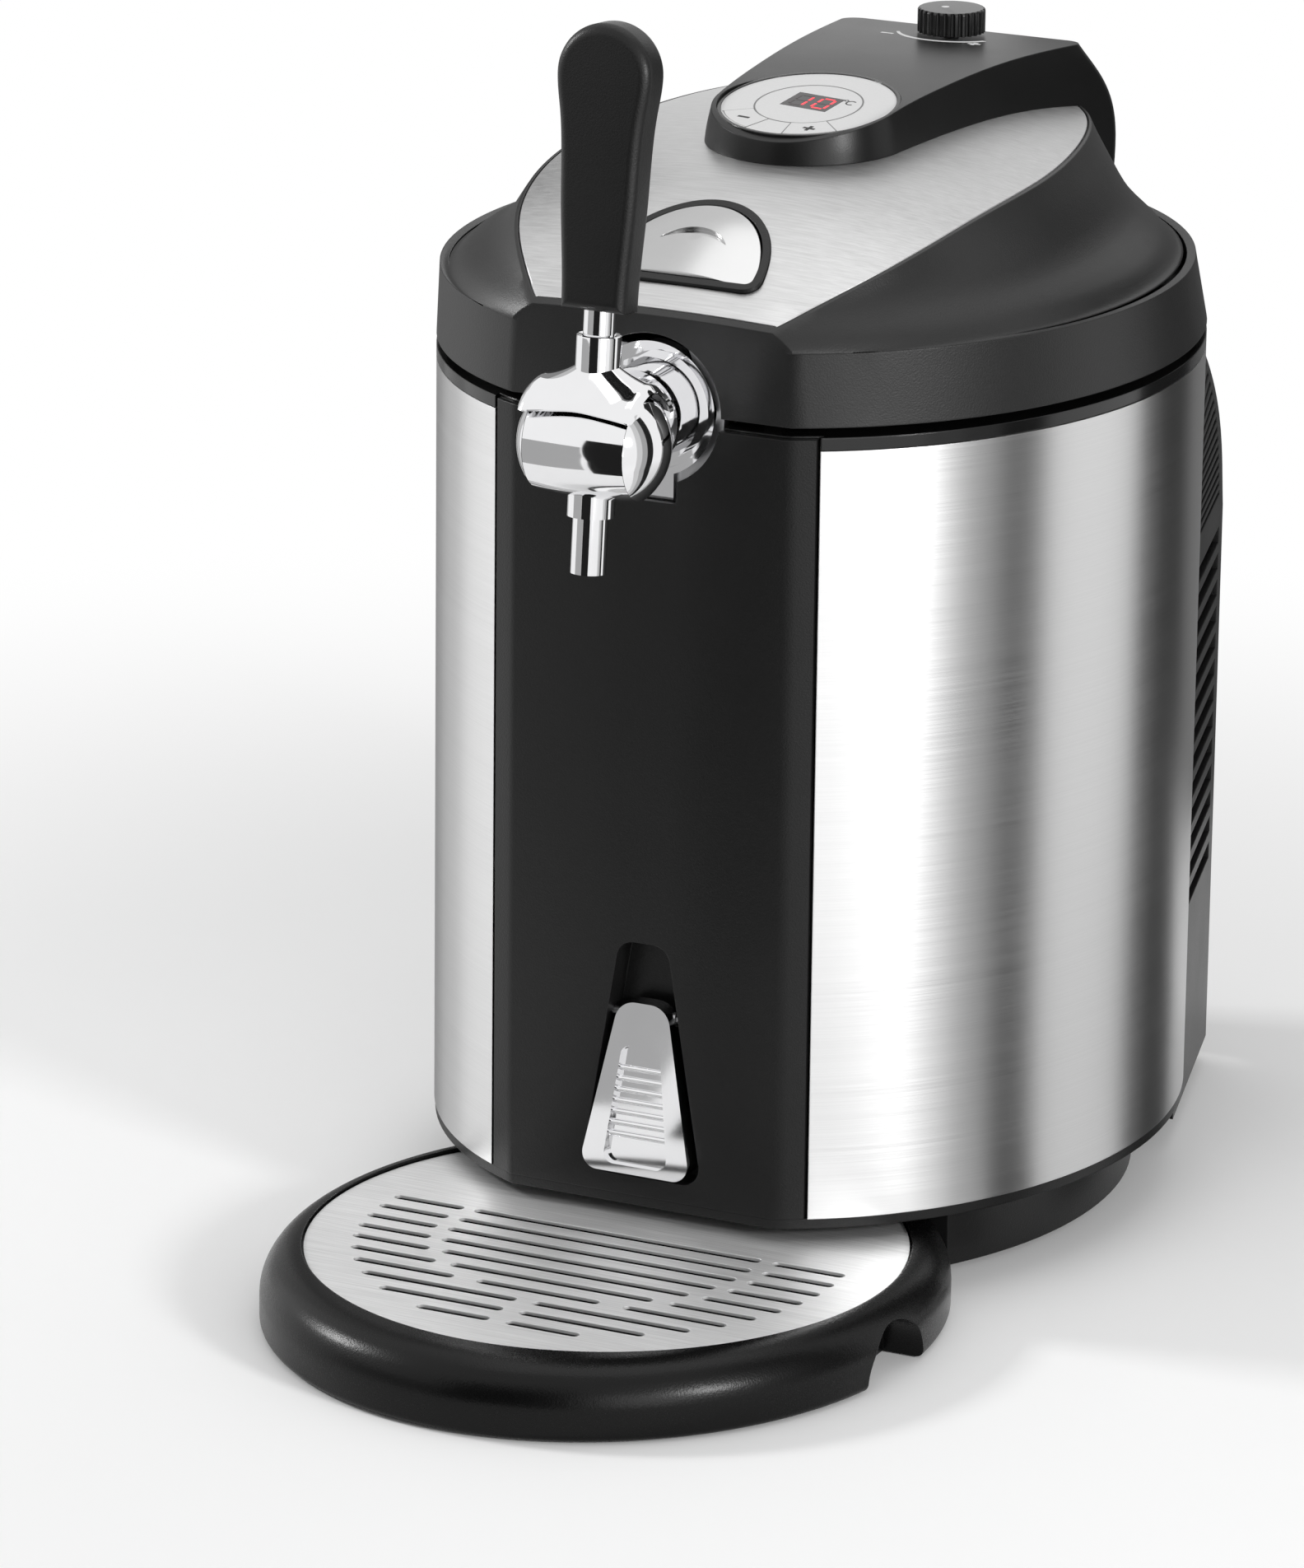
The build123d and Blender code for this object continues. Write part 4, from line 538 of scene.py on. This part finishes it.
# Marks beside the knob follow the head's own curved top
headMesh = cad["control_head"].data
headTop = BVHTree.FromPolygons([vertex.co.copy() for vertex in headMesh.vertices],
                               [list(polygon.vertices) for polygon in headMesh.polygons])
dial = {"centre": 174.9, "radius": 20.0, "from": 204.0, "to": 332.0, "steps": 36, "line": 2.1,
        "thin": 0.5, "sign": 5.0, "signLine": 1.7, "signReach": 24.6, "signs": (216.0, 314.0),
        "below": 0.05, "above": 0.06, "overhead": 0.6}


def onHead(bm):
    for vertex in bm.verts:
        x, y = vertex.co.x * mm, vertex.co.y * mm
        hit = headTop.ray_cast(Vector((x, y, dial["overhead"])), Vector((0, 0, -1)))[0]
        vertex.co = Vector((x, y, hit.z + vertex.co.z * mm))


bm = bmesh.new()
flatArc(bm, 0, dial["centre"], dial["radius"], dial["line"], dial["from"], dial["to"], dial["steps"])
for vertex in bm.verts:  # the line runs from thin to full width
    fromCentre = vertex.co - Vector((0, dial["centre"], 0))
    share = min(1.0, dial["thin"] + (vertex.co.x + dial["radius"]) / dial["radius"])
    fromCentre.length = dial["radius"] + (fromCentre.length - dial["radius"]) * share
    vertex.co = fromCentre + Vector((0, dial["centre"], 0))
for turn, sign in zip(dial["signs"], (flatBar, flatCross)):
    signX, signY = (dial["signReach"] * f(radians(turn)) for f in (cos, sin))
    sign(bm, signX, dial["centre"] + signY, dial["sign"], dial["signLine"])
layMark("dial_print", bm, -dial["below"], dial["above"], onHead, printWhite, "lid")

knobDot = {"x": -2.4, "y": 174.5, "radius": 1.5, "segments": 24, "top": 425.6,
           "below": 0.05, "above": 0.05}


def toMetres(bm):
    bmesh.ops.scale(bm, vec=even(mm), verts=bm.verts)


bm = bmesh.new()
spot = Matrix.Translation((knobDot["x"], knobDot["y"], knobDot["top"]))
bmesh.ops.create_circle(bm, cap_ends=True, segments=knobDot["segments"],
                        radius=knobDot["radius"], matrix=spot)
layMark("knob_dot", bm, -knobDot["below"], knobDot["above"], toMetres, printWhite, "pressure_knob")
print("stage: marks done")


# Studio: pale floor, white surroundings, soft boxes, and cards that show only in reflections
def stageMesh(name, bm, material):
    card = addMesh(name, bm, material)
    return card


def seenRays(g):
    path = g.make("ShaderNodeLightPath", {}, {}, "Is Camera Ray")
    mirrored = path.math("MAXIMUM", path, path.also("Is Glossy Ray"))
    return path.math("MAXIMUM", mirrored, path.also("Is Transmission Ray"))


# The floor takes shadows near the object and turns plain white further off
floor = {"size": 9.0, "near": 0.38, "far": 0.95, "low": 0.93, "high": 0.96, "cloud": 3.0}
g = newLook("paleFloor")
place = g.make("ShaderNodeTexCoord", {}, {}, "Object")
away = g.make("ShaderNodeVectorMath", {"operation": "LENGTH"}, {0: place}, "Value")
farOff = g.make("ShaderNodeMapRange", {"interpolation_type": "SMOOTHSTEP"}, {
    "Value": away, "From Min": floor["near"], "From Max": floor["far"]})
tone = g.blendColor(g.noise(even(floor["cloud"])), even(floor["low"]), even(floor["high"]))
matt = g.make("ShaderNodeBsdfDiffuse", {}, {"Color": tone})
floorLook = g.show(g.mixShaders(seenRays(g) * farOff, matt, g.glow(1.0)))
bm = bmesh.new()
bmesh.ops.create_grid(bm, x_segments=1, y_segments=1, size=floor["size"])
stageMesh("floor", bm, floorLook)


def cardLook(tone):
    g = newLook("card")
    return g.show(g.glow(tone))


cardFoot = 0.001


def card(name, start, end, high, tone, feet=None):
    bm = bmesh.new()
    foot = [bm.verts.new((x, y, cardFoot)) for x, y in (start, end)]
    grown = bmesh.ops.extrude_edge_only(bm, edges=[bm.edges.new(foot)])["geom"]
    raised = [item for item in grown if isinstance(item, bmesh.types.BMVert)]
    bmesh.ops.translate(bm, vec=(0, 0, high - cardFoot), verts=raised)
    if feet:  # a strip on the floor carries the card on to the shell
        near = [bm.verts.new((x, y, cardFoot)) for x, y in feet]
        bm.faces.new([foot[0], foot[1], near[1], near[0]])
    wall = stageMesh(name, bm, cardLook(tone))
    for ray in ("camera", "diffuse", "shadow", "transmission", "volume_scatter"):
        setattr(wall, "visible_" + ray, False)


def around(azimuth, reach):
    return (reach * sin(radians(azimuth)), -reach * cos(radians(azimuth)))


cards = {  # name: two ends on the floor plan, highest z, brightness, inner ends of a floor strip
    "rightPale": ((0.520, -0.200), (0.5475, -0.105), 0.8, 0.66,
                  ((0.0955, -0.0521), (0.1045, -0.041))),
    "rightGrey": ((0.5475, -0.105), (0.5625, -0.001), 0.8, 0.40,
                  ((0.1045, -0.041), (0.1131, -0.0245))),
    "rightDark": ((0.5625, -0.001), (0.551, 0.131), 0.8, 0.02,
                  ((0.1131, -0.0245), (0.122, -0.004))),
    "rearDark": ((0.41, 0.40), (0.20, 0.536), 0.8, 0.02,
                 ((0.1365, 0.0435), (0.1354, 0.0908))),
    "rearGrey": ((0.20, 0.536), (-0.15, 0.60), 0.5, 0.20),
    "leftGrey": ((-0.335, 0.436), (-0.485, 0.277), 0.8, 0.26,
                 ((-0.1203, -0.0146), (-0.1022, -0.044))),
    "leftPale": ((-0.485, 0.277), (-0.555, 0.108), 0.8, 0.56,
                 ((-0.1022, -0.044), (-0.0847, -0.0631))),
    "frontGrey": (around(-62, 1.6), around(-20, 1.6), 0.42, 0.42,
                  (around(-62, 0.52), around(-20, 0.52))),
    "frontDark": (around(-18, 0.95), around(20, 0.95), 0.6, 0.015,
                  (around(-18, 0.45), around(20, 0.45))),
}
for name, values in cards.items():
    card(name, *values)

aim = Vector((0, 0, 0.2))


def softbox(name, azimuth, height, reach, size, power):
    light = bpy.data.lights.new(name, "AREA")
    light.shape = "RECTANGLE"
    light.size, light.size_y = size
    light.energy = power
    lamp = bpy.data.objects.new(name, light)
    lamp.location = (*around(azimuth, reach), height)
    lamp.visible_camera = False
    lamp.rotation_euler = (aim - lamp.location).to_track_quat("-Z", "Y").to_euler()
    bpy.context.scene.collection.objects.link(lamp)


softboxes = {  # name: azimuth, height, reach, width and height, power
    "boxRight": (66.0, 0.82, 2.05, (0.34, 0.34), 22),
    "boxFront": (46.0, 0.55, 2.1, (0.9, 1.0), 6),
    "boxLeft": (-80.0, 1.2, 1.95, (0.34, 0.34), 20),
    "boxTop": (180.0, 2.4, 0.3, (1.6, 1.6), 7),
}
for name, values in softboxes.items():
    softbox(name, *values)

skyLevels = {"fill": 0.45, "seen": 1.0}
sky = Graph(bpy.data.worlds.new("studio"))
bpy.context.scene.world = sky.owner
fill, white = (sky.make("ShaderNodeBackground", {}, {
    "Color": (*even(1.0), 1.0), "Strength": skyLevels[level]}) for level in ("fill", "seen"))
sky.show(sky.mixShaders(seenRays(sky), fill, white), "ShaderNodeOutputWorld")
bpy.context.scene.view_settings.view_transform = "Standard"
print("stage: studio done")

view = {"place": (1.21908, -2.6316, 1.07011), "yaw": 25.53, "pitch": 17.29, "roll": 0.64,
        "focal": 10044.02, "longSide": 1904, "sensor": 36.0, "farthest": 50.0}
yaw, pitch, roll = (radians(view[key]) for key in ("yaw", "pitch", "roll"))
ahead = Vector((-sin(yaw) * cos(pitch), cos(yaw) * cos(pitch), -sin(pitch)))
level = Vector((cos(yaw), sin(yaw), 0))
upright = level.cross(ahead)
across = level * cos(roll) + upright * sin(roll)
upward = upright * cos(roll) - level * sin(roll)
lens = bpy.data.cameras.new("camera")
lens.sensor_width = view["sensor"]
lens.lens = view["focal"] / view["longSide"] * view["sensor"]
lens.clip_end = view["farthest"]
camera = bpy.data.objects.new("camera", lens)
turned = Matrix((across, upward, -ahead)).transposed().to_4x4()
camera.matrix_world = Matrix.Translation(view["place"]) @ turned
bpy.context.scene.collection.objects.link(camera)
bpy.context.scene.camera = camera
